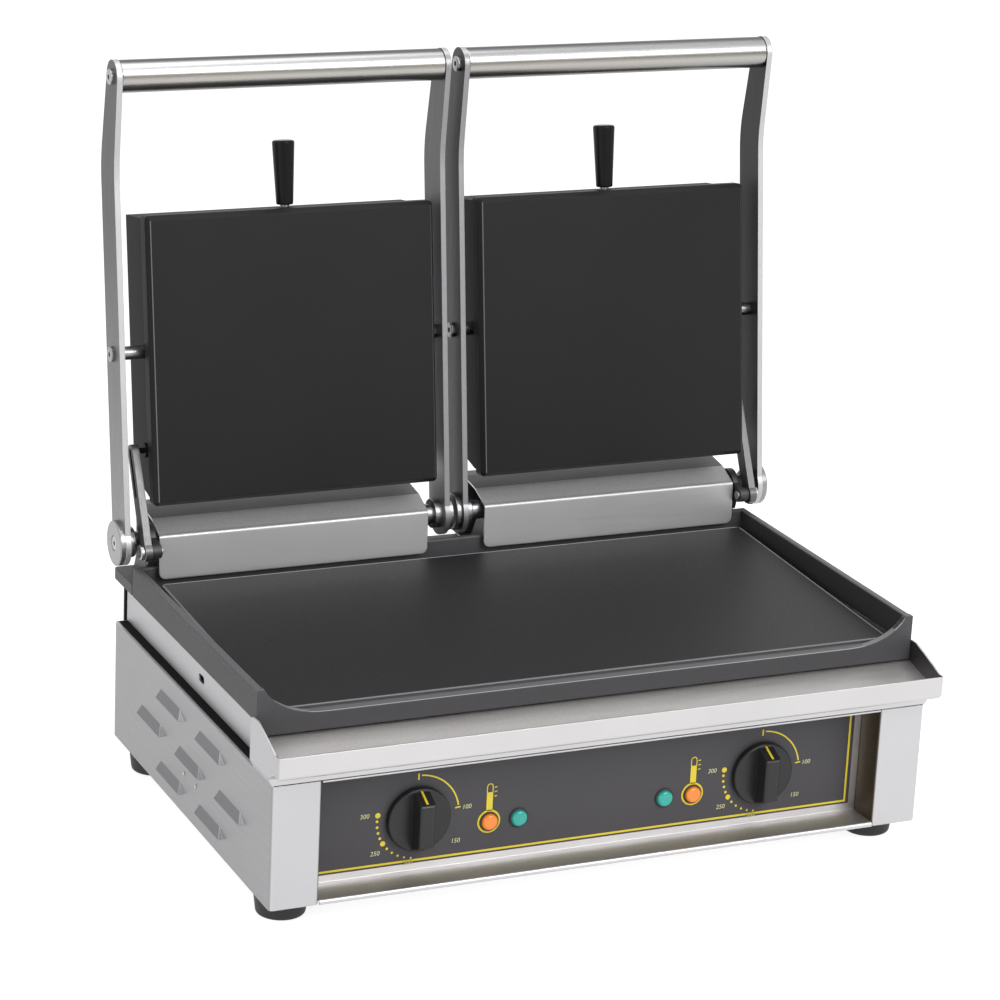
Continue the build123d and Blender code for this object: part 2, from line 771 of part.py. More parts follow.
plate = plate - pocket - left(pocket)
save("lower_plate", plate)

# Front gutter: band and cheeks wrap round the front, a sloping floor leads back to the plate
band_plan = [
    (cheek_x, cheek_rear),
    (cheek_x, -gutter_reach),
    (-cheek_x, -gutter_reach),
    (-cheek_x, cheek_rear),
]
cheek_top = plate_bottom + cheek_rise
cheek_bend_z = case_top + cheek_bend
wrap = bent_z(band_plan, -sheet, cheek_corner, (cheek_bend_z, cheek_top + 5))
foot_points = [
    (cheek_x - sheet, cheek_bend_z),
    (cheek_x, cheek_bend_z),
    (case_x, case_top),
    (case_x - sheet, case_top),
]
cheek_foot = prism_y(foot_points, (0, cheek_rear))
under_rear = band_under - gutter_reach
cheek_outline = [
    (cheek_rear + 1, case_top - 1),
    (cheek_rear + 1, cheek_top - 3),
    (plate_front + 1, cheek_top),
    (plate_front - cheek_top_run, cheek_top),
    (plate_front - cheek_slope_run, band_top + cheek_slope_rise),
    (-5, band_top + 3.5),
    (-14, band_top),
    (-gutter_reach - 1, band_top),
    (-gutter_reach - 1, band_bottom),
    (under_rear, band_bottom),
    (1, band_bottom - cheek_foot_drop),
    (1, case_top - 1),
]
gutter = (wrap + cheek_foot + left(cheek_foot)) & prism_x(cheek_outline, (-cheek_x - 1, cheek_x + 1))
inside_x = cheek_x - sheet / 2
inside_front = -gutter_reach + sheet / 2
floor_path = [
    (inside_front, gutter_floor),
    (inside_front + gutter_floor_run, gutter_floor),
    (body_front, plate_bottom - gutter_floor_gap),
    (body_front, plate_bottom - gutter_flange),
]
floor_sheet = bent_x(floor_path, -sheet, 1.0, (-inside_x, inside_x))
under_path = [
    (inside_front, band_bottom),
    (under_rear, band_bottom),
    (0, band_bottom - cheek_foot_drop),
    (0, case_top + gutter_shadow),
]
under_sheet = bent_x(under_path, sheet, 1.5, (-inside_x, inside_x))
corner = slab((inside_x - band_round, inside_x), (inside_front, under_rear), (band_bottom, gutter_floor))
gutter = gutter + floor_sheet + under_sheet + corner + left(corner)
taper = [
    (case_x, case_top),
    (cheek_x, cheek_bend_z),
    (cheek_x, cheek_top + 5),
    (-cheek_x, cheek_top + 5),
    (-cheek_x, cheek_bend_z),
    (-case_x, case_top),
]
gutter = gutter & prism_y(taper, (-gutter_reach - 1, cheek_rear + sheet + 1))
nose_y = (-gutter_reach, under_rear)
nose = slab((-cheek_x, cheek_x), nose_y, (band_bottom, cheek_top + 5))
nose_edges = nose.edges().filter_by(Axis.Z).group_by(Axis.Y)[0]
nose_edges += nose.edges().filter_by(Axis.X).group_by(Axis.Z)[0].group_by(Axis.Y)[0]
nose_edges += nose.edges().filter_by(Axis.Y).group_by(Axis.Z)[0]
around = slab((-cheek_x - 1, cheek_x + 1), (nose_y[0] - 1, nose_y[1]), (band_bottom - 1, cheek_top + 5))
gutter -= around - fillet(nose_edges, band_round)
save("front_gutter", gutter)

# Hinge base behind the plate, flat on the deck
base_y = (plate_rear + hinge_base_gap, hinge_base_rear)
hinge_base = slab((-plate_x, plate_x), base_y, (body_top, hinge_base_top))
hinge_base = fillet(hinge_base.edges().filter_by(Axis.Z), 4.0)
hinge_base = fillet(hinge_base.faces().sort_by(Axis.Z)[-1].edges(), 1.0)
save("hinge_base", hinge_base)


def bracket(x0, radius):
    """Upright bracket on the hinge base with the bore for the lid's shaft."""
    x = (x0, x0 + bracket_thickness)
    foot_y = (base_y[0] + 2, base_y[0] + 2 + bracket_foot_depth)
    web_points = [
        (foot_y[0], hinge_base_top),
        (foot_y[1], hinge_base_top),
        (hinge_y + radius * 0.94, hinge_z - radius * 0.35),
        (hinge_y - radius * 0.94, hinge_z - radius * 0.35),
    ]
    shape = prism_x(web_points, x) + rod_x(x, hinge_y, hinge_z, radius)
    relief_y = (plate_rear - radius, plate_rear + hinge_base_gap)
    shape -= slab((x[0] - 1, x[1] + 1), relief_y, (hinge_base_top - 1, rim_top + bracket_relief))
    return shape, foot_y


inner_web, bracket_foot_y = bracket(inner_bracket_x, inner_bracket_radius)
foot_z = (hinge_base_top, hinge_base_top + bracket_foot_height)
inner_foot = slab((inner_bracket_x, inner_bracket_x + bracket_foot), bracket_foot_y, foot_z)
shaft_bore = rod_x((0, arm_outer_face), hinge_y, hinge_z, shaft_radius + running)
inner_bracket = inner_web + inner_foot - shaft_bore
outer_web, bracket_foot_y = bracket(outer_bracket_x, outer_bracket_radius)
outer_x = (outer_bracket_x, outer_bracket_x + bracket_thickness)
nose_points = [
    (hinge_y, hinge_z + outer_bracket_radius * 0.6),
    (hinge_y, hinge_z - outer_bracket_radius * 0.9),
    (stay_y, stay_z - nose_radius),
    (stay_y, stay_z + nose_radius),
]
outer_bracket = outer_web + prism_x(nose_points, outer_x) + rod_x(outer_x, stay_y, stay_z, nose_radius)
outer_bracket += rod_x((outer_x[1] - 1, stay_inner_x - slip), stay_y, stay_z, nose_radius)
outer_bracket += slab((outer_x[1] - bracket_foot, outer_x[1]), bracket_foot_y, foot_z)
stay_bore = rod_x((outer_x[0] - 2, arm_outer_face), stay_y, stay_z, stay_pin_radius + running)
outer_bracket = outer_bracket - shaft_bore - stay_bore
save("hinge_brackets", *pair(inner_bracket), *pair(outer_bracket))

# Guards over the hinge: one bent sheet each, open at the ends
guard_path = [
    (hinge_base_rear - guard_flange, hinge_base_top),
    (hinge_base_rear, hinge_base_top),
    (hinge_base_rear, guard_top),
    (hinge_base_rear - guard_flange, guard_top),
    (guard_front + guard_slope_run, guard_top - guard_slope_drop),
    (guard_front + guard_front_lean, guard_fold_z),
    (guard_front, guard_bottom),
]
guard = bent_x(guard_path, sheet, 1.2, (guard_inner_x, guard_outer_x))
low_corners = guard.edges().filter_by(Axis.X, reverse=True).group_by(Axis.Y)[0:2]
low_edges = [edge for group in low_corners for edge in group if edge.center().Z < guard_bottom + 1]
guard = fillet(low_edges, 6.0)
save("guard_right", guard)
save("guard_left", left(guard))

# Torsion springs wound round the shafts, drawn as closed coils with one leg on the hinge base
coil_inner = shaft_radius + 0.5
coil_outer = coil_inner + spring_wire
coil_x = (spring_start, spring_start + spring_length)
coil = rod_x(coil_x, hinge_y, hinge_z, coil_outer)
leg_y = hinge_y + coil_outer - spring_wire / 2
coil += rod_z(coil_x[0] + spring_wire, leg_y, (hinge_base_top, hinge_z), spring_wire / 2)
coil -= rod_x((coil_x[0] - 1, coil_x[1] + 1), hinge_y, hinge_z, coil_inner)
save("torsion_springs", *pair(coil))

# Pins that carry the stays on the outer brackets
stay_outer_x = stay_inner_x + stay_thickness
pivot_pin = socket_screw(outer_x[0] - 1.5, stay_outer_x + slip, stay_y, stay_z, stay_pin_radius, 6.5, 3.4)
save("stay_pivot_pins", *pair(pivot_pin))

# Lid arms: flat bars from the hinge eye past the elbow to the handle bar
arm_path = [(hinge_y, hinge_z), (elbow_y, elbow_z), (bar_y, bar_z)]
arm_end_radius = bar_radius + arm_end_rim
wide_rear, wide_front = [offset_path(arm_path, side_sign * arm_width / 2) for side_sign in (-1, 1)]
slim_rear, slim_front = [offset_path(arm_path, side_sign * arm_end_radius) for side_sign in (-1, 1)]
arm_outline = wide_rear[:2] + [slim_rear[2], slim_front[2]] + wide_front[1::-1]


def arm(x):
    """One arm plate between two X coordinates."""
    plate_part = prism_x(arm_outline, x)
    cross_edges = plate_part.edges().filter_by(Axis.X)
    elbow_edges = [edge for edge in cross_edges if abs(edge.center().Z - elbow_z) < arm_width / 2]
    plate_part = fillet(elbow_edges, elbow_radius)
    plate_part += rod_x(x, hinge_y, hinge_z, eye_radius)
    plate_part += rod_x(x, bar_y, bar_z, arm_end_radius)
    for y, z in ((hinge_y, hinge_z), (bar_y, bar_z)):
        plate_part -= rod_x((x[0] - 1, x[1] + 1), y, z, screw_radius + slip / 2)
    plate_part -= rod_x((x[0] - 1, x[1] + 1), pivot_y, pivot_z, screw_radius + slip / 2)
    return plate_part


arm_outer = arm((shaft_outer_x, arm_outer_face))
arm_inner = arm((arm_inner_face, shaft_inner_x))
save("right_arm_outer", arm_outer)
save("left_arm_outer", left(arm_outer))
save("right_arm_inner", arm_inner)
save("left_arm_inner", left(arm_inner))

# Handle bar between the arms
bar = rod_x((shaft_inner_x, shaft_outer_x), bar_y, bar_z, bar_radius)
bar = fillet(bar.edges().filter_by(GeomType.CIRCLE), 1.0)
bar -= rod_x((shaft_inner_x - 1, shaft_inner_x + tapped_depth), bar_y, bar_z, screw_radius + slip / 2)
bar -= rod_x((shaft_outer_x - tapped_depth, shaft_outer_x + 1), bar_y, bar_z, screw_radius + slip / 2)
save("right_handle_bar", bar)
save("left_handle_bar", left(bar))

# Hinge shaft through the brackets, screwed to both arms
shaft = rod_x((shaft_inner_x, shaft_outer_x), hinge_y, hinge_z, shaft_radius)
shaft -= rod_x((shaft_inner_x - 1, shaft_inner_x + tapped_depth), hinge_y, hinge_z, screw_radius + slip / 2)
shaft -= rod_x((shaft_outer_x - tapped_depth, shaft_outer_x + 1), hinge_y, hinge_z, screw_radius + slip / 2)
save("right_hinge_shaft", shaft)
save("left_hinge_shaft", left(shaft))

# Collars on the shaft beside the arms
outer_collar = rod_x((shaft_outer_x - collar_length, shaft_outer_x), hinge_y, hinge_z, collar_radius)
outer_collar = fillet(outer_collar.edges().filter_by(GeomType.CIRCLE).group_by(Axis.X)[0], 1.0)
inner_collar = rod_x((shaft_inner_x, shaft_inner_x + collar_length), hinge_y, hinge_z, collar_radius)
inner_collar = fillet(inner_collar.edges().filter_by(GeomType.CIRCLE).group_by(Axis.X)[-1], 1.0)
collar_bore = rod_x((0, arm_outer_face), hinge_y, hinge_z, shaft_radius + running)
save("right_shaft_collars", outer_collar - collar_bore, inner_collar - collar_bore)
save("left_shaft_collars", left(outer_collar - collar_bore), left(inner_collar - collar_bore))

# Discs that cap the hinge on the outer faces of the arms, recessed for the screw heads
outer_disc = rod_x((arm_outer_face, arm_outer_face + disc_thickness), hinge_y, hinge_z, outer_disc_radius)
outer_disc = fillet(outer_disc.edges().filter_by(GeomType.CIRCLE).group_by(Axis.X)[-1], 1.2)
inner_disc = rod_x((arm_inner_face - disc_thickness, arm_inner_face), hinge_y, hinge_z, inner_disc_radius)
inner_disc = fillet(inner_disc.edges().filter_by(GeomType.CIRCLE).group_by(Axis.X)[0], 1.2)
disc_hole = rod_x((0, arm_outer_face + disc_thickness + 1), hinge_y, hinge_z, screw_radius + slip / 2)
seat_depth = screw_head + 0.3
seat_radius = screw_head_radius + slip
outer_seat_x = (arm_outer_face + disc_thickness - seat_depth, arm_outer_face + disc_thickness + 1)
outer_seat = rod_x(outer_seat_x, hinge_y, hinge_z, seat_radius)
inner_seat = rod_x((0, arm_inner_face - disc_thickness + seat_depth), hinge_y, hinge_z, seat_radius)
outer_disc = outer_disc - disc_hole - outer_seat
inner_disc = inner_disc - disc_hole - inner_seat
save("right_hinge_discs", outer_disc, inner_disc)
save("left_hinge_discs", left(outer_disc), left(inner_disc))

# Screws of one lid: into the shaft through the discs, and into the handle bar through the arms
head_x = arm_outer_face + disc_thickness - seat_depth
screw_sizes = (screw_radius, screw_head_radius, screw_head)
disc_screw = socket_screw(shaft_outer_x - screw_length, head_x, hinge_y, hinge_z, *screw_sizes)
bar_screw = socket_screw(shaft_outer_x - screw_length, arm_outer_face, bar_y, bar_z, *screw_sizes)
inner_disc_screw = facing_inwards(disc_screw, head_x, arm_inner_face - disc_thickness + seat_depth)
inner_bar_screw = facing_inwards(bar_screw, arm_outer_face, arm_inner_face)
lid_screws = [disc_screw, bar_screw, inner_disc_screw, inner_bar_screw]
save("right_lid_screws", *lid_screws)
save("left_lid_screws", *[left(screw) for screw in lid_screws])

# Frame of the upper plate: origin on its pivot, Y towards its back, Z along its height
tilt_frame = Pos(0, pivot_y, pivot_z) * Rot(-lean, 0, 0)
cover_x_range = (upper_inner_x + cover_inset, upper_outer_x - cover_inset)

# Pivot studs of one lid: spacer between arm and plate, spindle in the plate's lug, screw head outside
stud_tip_outer = cover_x_range[1] - stud_depth
stud_tip_inner = cover_x_range[0] + stud_depth
outer_stud = socket_screw(shaft_outer_x, arm_outer_face, pivot_y, pivot_z, *screw_sizes)
inner_stud = facing_inwards(outer_stud, arm_outer_face, arm_inner_face)
inner_stud += rod_x((shaft_inner_x, stud_tip_inner), pivot_y, pivot_z, stud_radius)
outer_stud += rod_x((stud_tip_outer, shaft_outer_x), pivot_y, pivot_z, stud_radius)
save("right_pivot_studs", outer_stud, inner_stud)
save("left_pivot_studs", left(outer_stud), left(inner_stud))

# Upper cooking plate with a bevelled border and lugs for the pivot studs
face_y = -face_forward
plate_back = face_y + upper_thickness
upper = slab((upper_inner_x, upper_outer_x), (face_y, plate_back), (-upper_below, upper_above))
upper = rounded(upper, Axis.Y, face_corner)
upper = chamfer(upper.faces().sort_by(Axis.Y)[0].edges(), face_bevel * 0.7, face_bevel)
inner_lug_x = (cover_x_range[0] + sheet + slip, cover_x_range[0] + sheet + lug_width)
outer_lug_x = (cover_x_range[1] - sheet - lug_width, cover_x_range[1] - sheet - slip)
for x in (inner_lug_x, outer_lug_x):
    lug = slab(x, (plate_back - 1, stud_radius), (-stud_radius * 2, stud_radius * 2))
    upper += lug + rod_x(x, 0, 0, stud_radius * 2)
upper -= rod_x((cover_x_range[0] - 1, cover_x_range[1] + 1), 0, 0, stud_radius + running)
save("right_upper_plate", tilt_frame * upper)
save("left_upper_plate", left(tilt_frame * upper))

# Cover behind the upper plate: a shallow box of sheet with a slanted lower back edge
cover_below = -upper_below + cover_inset
cover_above = upper_above - cover_inset
catch_y = stay_y + catch_distance * math.cos(math.radians(stay_angle)) - pivot_y
catch_z = stay_z + catch_distance * math.sin(math.radians(stay_angle)) - pivot_z
catch_back = catch_y * math.cos(math.radians(lean)) - catch_z * math.sin(math.radians(lean))
catch_up = catch_y * math.sin(math.radians(lean)) + catch_z * math.cos(math.radians(lean))


def cover_block(inset):
    """The cover's outer shape, or its hollow when an inset is given."""
    front = plate_back - (1 if inset else 0)
    slant = math.atan2(cover_slant_rise, cover_slant_run)
    slant_start = cover_back - cover_slant_run - inset * math.tan(slant / 2)
    slant_end = cover_below + cover_slant_rise + inset * math.tan(math.pi / 4 - slant / 2)
    points = [
        (front, cover_below + inset),
        (slant_start, cover_below + inset),
        (cover_back - inset, slant_end),
        (cover_back - inset, cover_above - inset),
        (front, cover_above - inset),
    ]
    block_part = prism_x(points, (cover_x_range[0] + inset, cover_x_range[1] - inset))
    rear_edges = [edge for edge in block_part.edges() if edge.center().Y > cover_back - inset - 1]
    return fillet(rear_edges, 4.0 - inset)


cover = cover_block(0) - cover_block(sheet)
cover -= rod_x((cover_x_range[0] - 1, cover_x_range[1] + 1), 0, 0, stud_radius + stud_clearance)
cover -= rod_z(grip_x, grip_back, (cover_above - 5, cover_above + 5), grip_rod_radius + slip)
catch = rod_x((cover_x_range[1] - sheet, cover_x_range[1] + 2.5), catch_back, catch_up, catch_radius * 2.6)
catch += rod_x((cover_x_range[1], stay_inner_x - catch_gap), catch_back, catch_up, catch_radius)
cover += catch
save("right_plate_cover", tilt_frame * cover)
save("left_plate_cover", left(tilt_frame * cover))

# Heating element behind each upper plate
coil_plane = plate_back + element_radius + 0.1
loop_x = [cover_x_range[0] + loop_margin, cover_x_range[1] - loop_margin]
loop_low = -upper_below + loop_end_gap
loop_high = upper_above - loop_end_gap - stud_radius
upper_points = [
    (loop_x[0] + loop_width, coil_plane, loop_low + loop_margin),
    (loop_x[0] + loop_width, coil_plane, loop_high),
    (loop_x[0], coil_plane, loop_high),
    (loop_x[0], coil_plane, loop_low),
    (loop_x[1], coil_plane, loop_low),
    (loop_x[1], coil_plane, loop_high),
    (loop_x[1] - loop_width, coil_plane, loop_high),
    (loop_x[1] - loop_width, coil_plane, loop_low + loop_margin),
]
upper_element_path = FilletPolyline(*upper_points, radius=loop_bend)
upper_element_section = Plane(origin=upper_points[0], z_dir=(0, 0, 1)) * Circle(element_radius)
upper_element = sweep(upper_element_section, path=upper_element_path)
save("right_upper_element", tilt_frame * upper_element)
save("left_upper_element", left(tilt_frame * upper_element))

# Grip on the top edge: rod with a foot on the plate's back, and a tapered handle
rod_top = grip_top - grip_rod_cover
rod = rod_z(grip_x, grip_back, (upper_above - grip_rod_below, rod_top), grip_rod_radius)
grip_foot_z = (upper_above - grip_rod_below - grip_foot_low, upper_above - grip_rod_below + grip_foot_high)
grip_foot_y = (plate_back, plate_back + grip_foot_thickness)
foot_plate = slab((grip_x - grip_foot_x, grip_x + grip_foot_x), grip_foot_y, grip_foot_z)
rod += rounded(foot_plate, Axis.Y, 4.0)
rod -= slab((grip_x - grip_foot_x, grip_x + grip_foot_x), (plate_back - 5, plate_back), (0, upper_above + 1))
save("right_grip_rod", tilt_frame * rod)
save("left_grip_rod", left(tilt_frame * rod))
grip = Cone(grip_radius_low, grip_radius_high, grip_length)
grip = Pos(grip_x, grip_back, grip_bottom + grip_length / 2) * grip
grip = fillet(grip.edges().filter_by(GeomType.CIRCLE).group_by(Axis.Z)[-1], grip_top_round)
grip = fillet(grip.edges().filter_by(GeomType.CIRCLE).group_by(Axis.Z)[0], 1.5)
grip -= rod_z(grip_x, grip_back, (grip_bottom - 1, rod_top + slip), grip_rod_radius + slip / 2)
save("right_grip", tilt_frame * grip)
save("left_grip", left(tilt_frame * grip))

# Stays: slotted bars that run beside the covers, each turning on its pin
stay_frame = Pos(0, stay_y, stay_z) * Rot(stay_angle, 0, 0)
stay_x = (stay_inner_x, stay_outer_x)
stay = slab(stay_x, (0, stay_length - stay_width / 2), (-stay_width / 2, stay_width / 2))
stay += rod_x(stay_x, stay_length - stay_width / 2, 0, stay_width / 2)
stay += rod_x(stay_x, 0, 0, stay_eye_radius)
stay -= rod_x((stay_x[0] - 1, stay_x[1] + 1), 0, 0, stay_pin_radius + running)
slot_end = catch_distance + catch_radius
through_x = (stay_x[0] - 1, stay_x[1] + 1)
slot_last = slot_end - slot_width / 2
slot = slab(through_x, (slot_start, slot_last), (-slot_width / 2, slot_width / 2))
slot += rod_x(through_x, slot_start, 0, slot_width / 2) + rod_x(through_x, slot_last, 0, slot_width / 2)
stay -= slot
save("right_stay", stay_frame * stay)
save("left_stay", left(stay_frame * stay))

# The origin goes to the table, under the middle of the whole part at rest
every_solid = [solid for solids in nodes.values() for solid in solids]
extent = Compound(every_solid).bounding_box(optimal=True)
middle_y = (extent.min.Y + extent.max.Y) / 2
for name, solids in nodes.items():
    placed = [Pos(0, -middle_y, 0) * solid for solid in solids]
    whole = placed[0] if len(placed) == 1 else Compound(children=placed)
    whole.label = name
    export_step(whole, "parts/" + name + ".step")
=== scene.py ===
import math

import bpy
from mathutils import Matrix, Vector


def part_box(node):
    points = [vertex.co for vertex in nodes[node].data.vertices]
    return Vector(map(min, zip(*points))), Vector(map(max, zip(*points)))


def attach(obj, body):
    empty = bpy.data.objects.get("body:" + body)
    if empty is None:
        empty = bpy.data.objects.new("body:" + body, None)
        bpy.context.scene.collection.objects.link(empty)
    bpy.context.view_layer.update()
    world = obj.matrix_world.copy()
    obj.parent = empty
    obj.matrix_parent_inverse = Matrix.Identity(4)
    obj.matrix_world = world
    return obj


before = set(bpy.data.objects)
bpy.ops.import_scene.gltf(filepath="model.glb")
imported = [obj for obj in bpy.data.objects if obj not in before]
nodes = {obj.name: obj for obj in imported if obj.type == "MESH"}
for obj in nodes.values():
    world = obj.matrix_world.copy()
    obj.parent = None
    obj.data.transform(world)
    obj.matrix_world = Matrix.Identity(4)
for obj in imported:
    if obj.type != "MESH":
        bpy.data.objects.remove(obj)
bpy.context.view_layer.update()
MM = 0.001
sides = ("left", "right")


# Shader nodes

def new_material(name):
    """Empty node material with its shader and output."""
    material = bpy.data.materials.new(name)
    material.use_nodes = True
    tree = material.node_tree
    tree.nodes.clear()
    output = tree.nodes.new("ShaderNodeOutputMaterial")
    shader = tree.nodes.new("ShaderNodeBsdfPrincipled")
    tree.links.new(shader.outputs["BSDF"], output.inputs["Surface"])
    return material, tree, shader


def set_or_link(tree, socket, value):
    """Gives a socket a number, a colour, a vector or the value of another socket."""
    if isinstance(value, tuple):
        socket.default_value = (*value, 1.0)
    elif isinstance(value, (int, float, Vector)):
        socket.default_value = value
    else:
        tree.links.new(value, socket)


def calculate(tree, operation, *values):
    """One step of arithmetic on sockets or numbers."""
    node = tree.nodes.new("ShaderNodeMath")
    node.operation = operation
    for socket, value in zip(node.inputs, values):
        set_or_link(tree, socket, value)
    return node.outputs["Value"]


def dot_product(tree, one, two):
    """Dot product of two vectors, each a socket or fixed."""
    node = tree.nodes.new("ShaderNodeVectorMath")
    node.operation = "DOT_PRODUCT"
    for socket, value in zip(node.inputs, (one, two)):
        set_or_link(tree, socket, value)
    return node.outputs["Value"]


def noise(tree, stretch, scale, detail=4.0, rough=0.55):
    """Noise in metres, stretched along the axes."""
    coordinates = tree.nodes.new("ShaderNodeTexCoord")
    mapping = tree.nodes.new("ShaderNodeMapping")
    mapping.inputs["Scale"].default_value = stretch
    texture = tree.nodes.new("ShaderNodeTexNoise")
    texture.inputs["Scale"].default_value = scale
    texture.inputs["Detail"].default_value = detail
    texture.inputs["Roughness"].default_value = rough
    tree.links.new(coordinates.outputs["Object"], mapping.inputs["Vector"])
    tree.links.new(mapping.outputs["Vector"], texture.inputs["Vector"])
    return texture.outputs["Fac"]


def span(tree, value, low, high, start=0.3, stop=0.7):
    """Maps a value from between start and stop to between low and high."""
    node = tree.nodes.new("ShaderNodeMapRange")
    node.inputs["From Min"].default_value = start
    node.inputs["From Max"].default_value = stop
    node.inputs["To Min"].default_value = low
    node.inputs["To Max"].default_value = high
    tree.links.new(value, node.inputs["Value"])
    return node.outputs["Result"]


def blend_colours(tree, factor, one, two, blend_type="MIX"):
    """Mixes or multiplies two colours, each a tuple or a socket."""
    node = tree.nodes.new("ShaderNodeMix")
    node.data_type = "RGBA"
    node.blend_type = blend_type
    for socket, value in ((node.inputs[0], factor), (node.inputs[6], one), (node.inputs[7], two)):
        set_or_link(tree, socket, value)
    return node.outputs[2]


def edge_mask(tree, radius):
    """White along sharp edges, black on flat faces, with the softened normal that shows them."""
    bevel = tree.nodes.new("ShaderNodeBevel")
    bevel.samples = 4
    bevel.inputs["Radius"].default_value = radius
    geometry = tree.nodes.new("ShaderNodeNewGeometry")
    agreement = dot_product(tree, bevel.outputs["Normal"], geometry.outputs["Normal"])
    return span(tree, agreement, 1.0, 0.0, 0.80, 0.985), bevel.outputs["Normal"]


# Masks by the object's own position and normal; limits are metres or parts of 1

def component(tree, kind, axis):
    """One coordinate of the object's own position or normal."""
    coordinates = tree.nodes.new("ShaderNodeTexCoord")
    split = tree.nodes.new("ShaderNodeSeparateXYZ")
    tree.links.new(coordinates.outputs[kind], split.inputs[0])
    return split.outputs[axis]


def facing(tree, axis, low=0.6, high=0.8):
    """White on faces that look along an axis, either way."""
    return span(tree, calculate(tree, "ABSOLUTE", component(tree, "Normal", axis)), 0.0, 1.0, low, high)


def turned_inwards(tree, low, high):
    """White on faces that look at the middle plane, beyond a distance from it."""
    product = calculate(tree, "MULTIPLY", component(tree, "Normal", "X"), component(tree, "Object", "X"))
    return span(tree, product, 1.0, 0.0, low, high)


def beyond(tree, axis, low, high):
    """White where the position along an axis is past the limits."""
    return span(tree, component(tree, "Object", axis), 0.0, 1.0, low, high)


def short_of(tree, axis, low, high):
    """White where the position along an axis is before the limits."""
    return span(tree, component(tree, "Object", axis), 1.0, 0.0, low, high)


def near_middle(tree, low, high):
    """White up to the limits on both sides of the middle plane."""
    return span(tree, calculate(tree, "ABSOLUTE", component(tree, "Object", "X")), 1.0, 0.0, low, high)


def common(tree, first, *others):
    """White where every mask is white."""
    for mask in others:
        first = calculate(tree, "MULTIPLY", first, mask)
    return first


# Materials

def surface(name, colour, metallic, rough, variation, grain, grain_scale, grain_bump, rough_spread, wear=None,
            wear_radius=0.8, wear_amount=0.6, bump_distance=0.0001, specular=0.5):
    """A finished surface: colour with clouds and grain, uneven gloss, fine bump and worn edges."""
    material, tree, shader = new_material(name)
    clouds = noise(tree, even, 9.0, 3.0)
    fine = noise(tree, grain, grain_scale, 5.0)
    dark = tuple(c * (1 - variation) for c in colour)
    light = tuple(min(1.0, c * (1 + variation)) for c in colour)
    base = blend_colours(tree, span(tree, clouds, 0.0, 1.0), dark, light)
    grey = tree.nodes.new("ShaderNodeCombineColor")
    value = span(tree, fine, 1 - variation * 0.7, 1.0)
    for channel in ("Red", "Green", "Blue"):
        tree.links.new(value, grey.inputs[channel])
    base = blend_colours(tree, 1.0, base, grey.outputs["Color"], "MULTIPLY")
    edges, soft_normal = edge_mask(tree, wear_radius * MM)
    if wear:
        patch = noise(tree, even, 60.0, 3.0)
        amount = calculate(tree, "MULTIPLY", edges, span(tree, patch, 0.0, wear_amount, 0.35, 0.6))
        base = blend_colours(tree, amount, base, wear)
    tree.links.new(base, shader.inputs["Base Color"])
    gloss = span(tree, fine, rough - rough_spread / 2, rough + rough_spread / 2)
    tree.links.new(gloss, shader.inputs["Roughness"])
    bump = tree.nodes.new("ShaderNodeBump")
    bump.inputs["Strength"].default_value = grain_bump
    bump.inputs["Distance"].default_value = bump_distance
    tree.links.new(fine, bump.inputs["Height"])
    tree.links.new(soft_normal, bump.inputs["Normal"])
    tree.links.new(bump.outputs["Normal"], shader.inputs["Normal"])
    shader.inputs["Metallic"].default_value = metallic
    shader.inputs["Specular IOR Level"].default_value = specular
    return material


def colour_socket(material):
    """The colour input of a material's shader, and what feeds it now."""
    socket = material.node_tree.nodes["Principled BSDF"].inputs["Base Color"]
    return socket, socket.links[0].from_socket


def recolour(material, mask, colour):
    """Gives a material another colour where the mask is white; the grain stays faintly on top."""
    tree = material.node_tree
    socket, base = colour_socket(material)
    fine = noise(tree, even, 500.0, 4.0)
    dark = tuple(c * 0.94 for c in colour)
    light = tuple(c * 1.06 for c in colour)
    other = blend_colours(tree, span(tree, fine, 0.0, 1.0), dark, light)
    tree.links.new(blend_colours(tree, mask, base, other), socket)


def paint_reflection_bands(material, stops):
    """Multiplies a turned bar's colour by soft lengthwise bands, by the height of its normal: a painted
    reflection.
    """
    tree = material.node_tree
    socket, base = colour_socket(material)
    ramp = tree.nodes.new("ShaderNodeValToRGB")
    ramp.color_ramp.interpolation = "B_SPLINE"
    while len(ramp.color_ramp.elements) < len(stops):
        ramp.color_ramp.elements.new(0.5)
    for element, (height, level) in zip(ramp.color_ramp.elements, stops):
        element.position = height / 2 + 0.5
        element.color = (*level, 1.0)
    position = calculate(tree, "MULTIPLY_ADD", component(tree, "Normal", "Z"), 0.5, 0.5)
    tree.links.new(position, ramp.inputs["Fac"])
    tree.links.new(blend_colours(tree, 1.0, base, ramp.outputs["Color"], "MULTIPLY"), socket)


even = (1, 1, 1)
along_x = (0.02, 1, 1)
along_y = (1, 0.02, 1)
along_z = (1, 1, 0.02)
wound = (300, 1, 1)
steel_wear = {"wear": (0.85, 0.85, 0.86)}
# Guard edges near white: wear, and a painted highlight along the fold
guard_wear_and_fold_highlight = {"wear": (0.95, 0.95, 0.95), "wear_radius": 1.2, "wear_amount": 0.9}

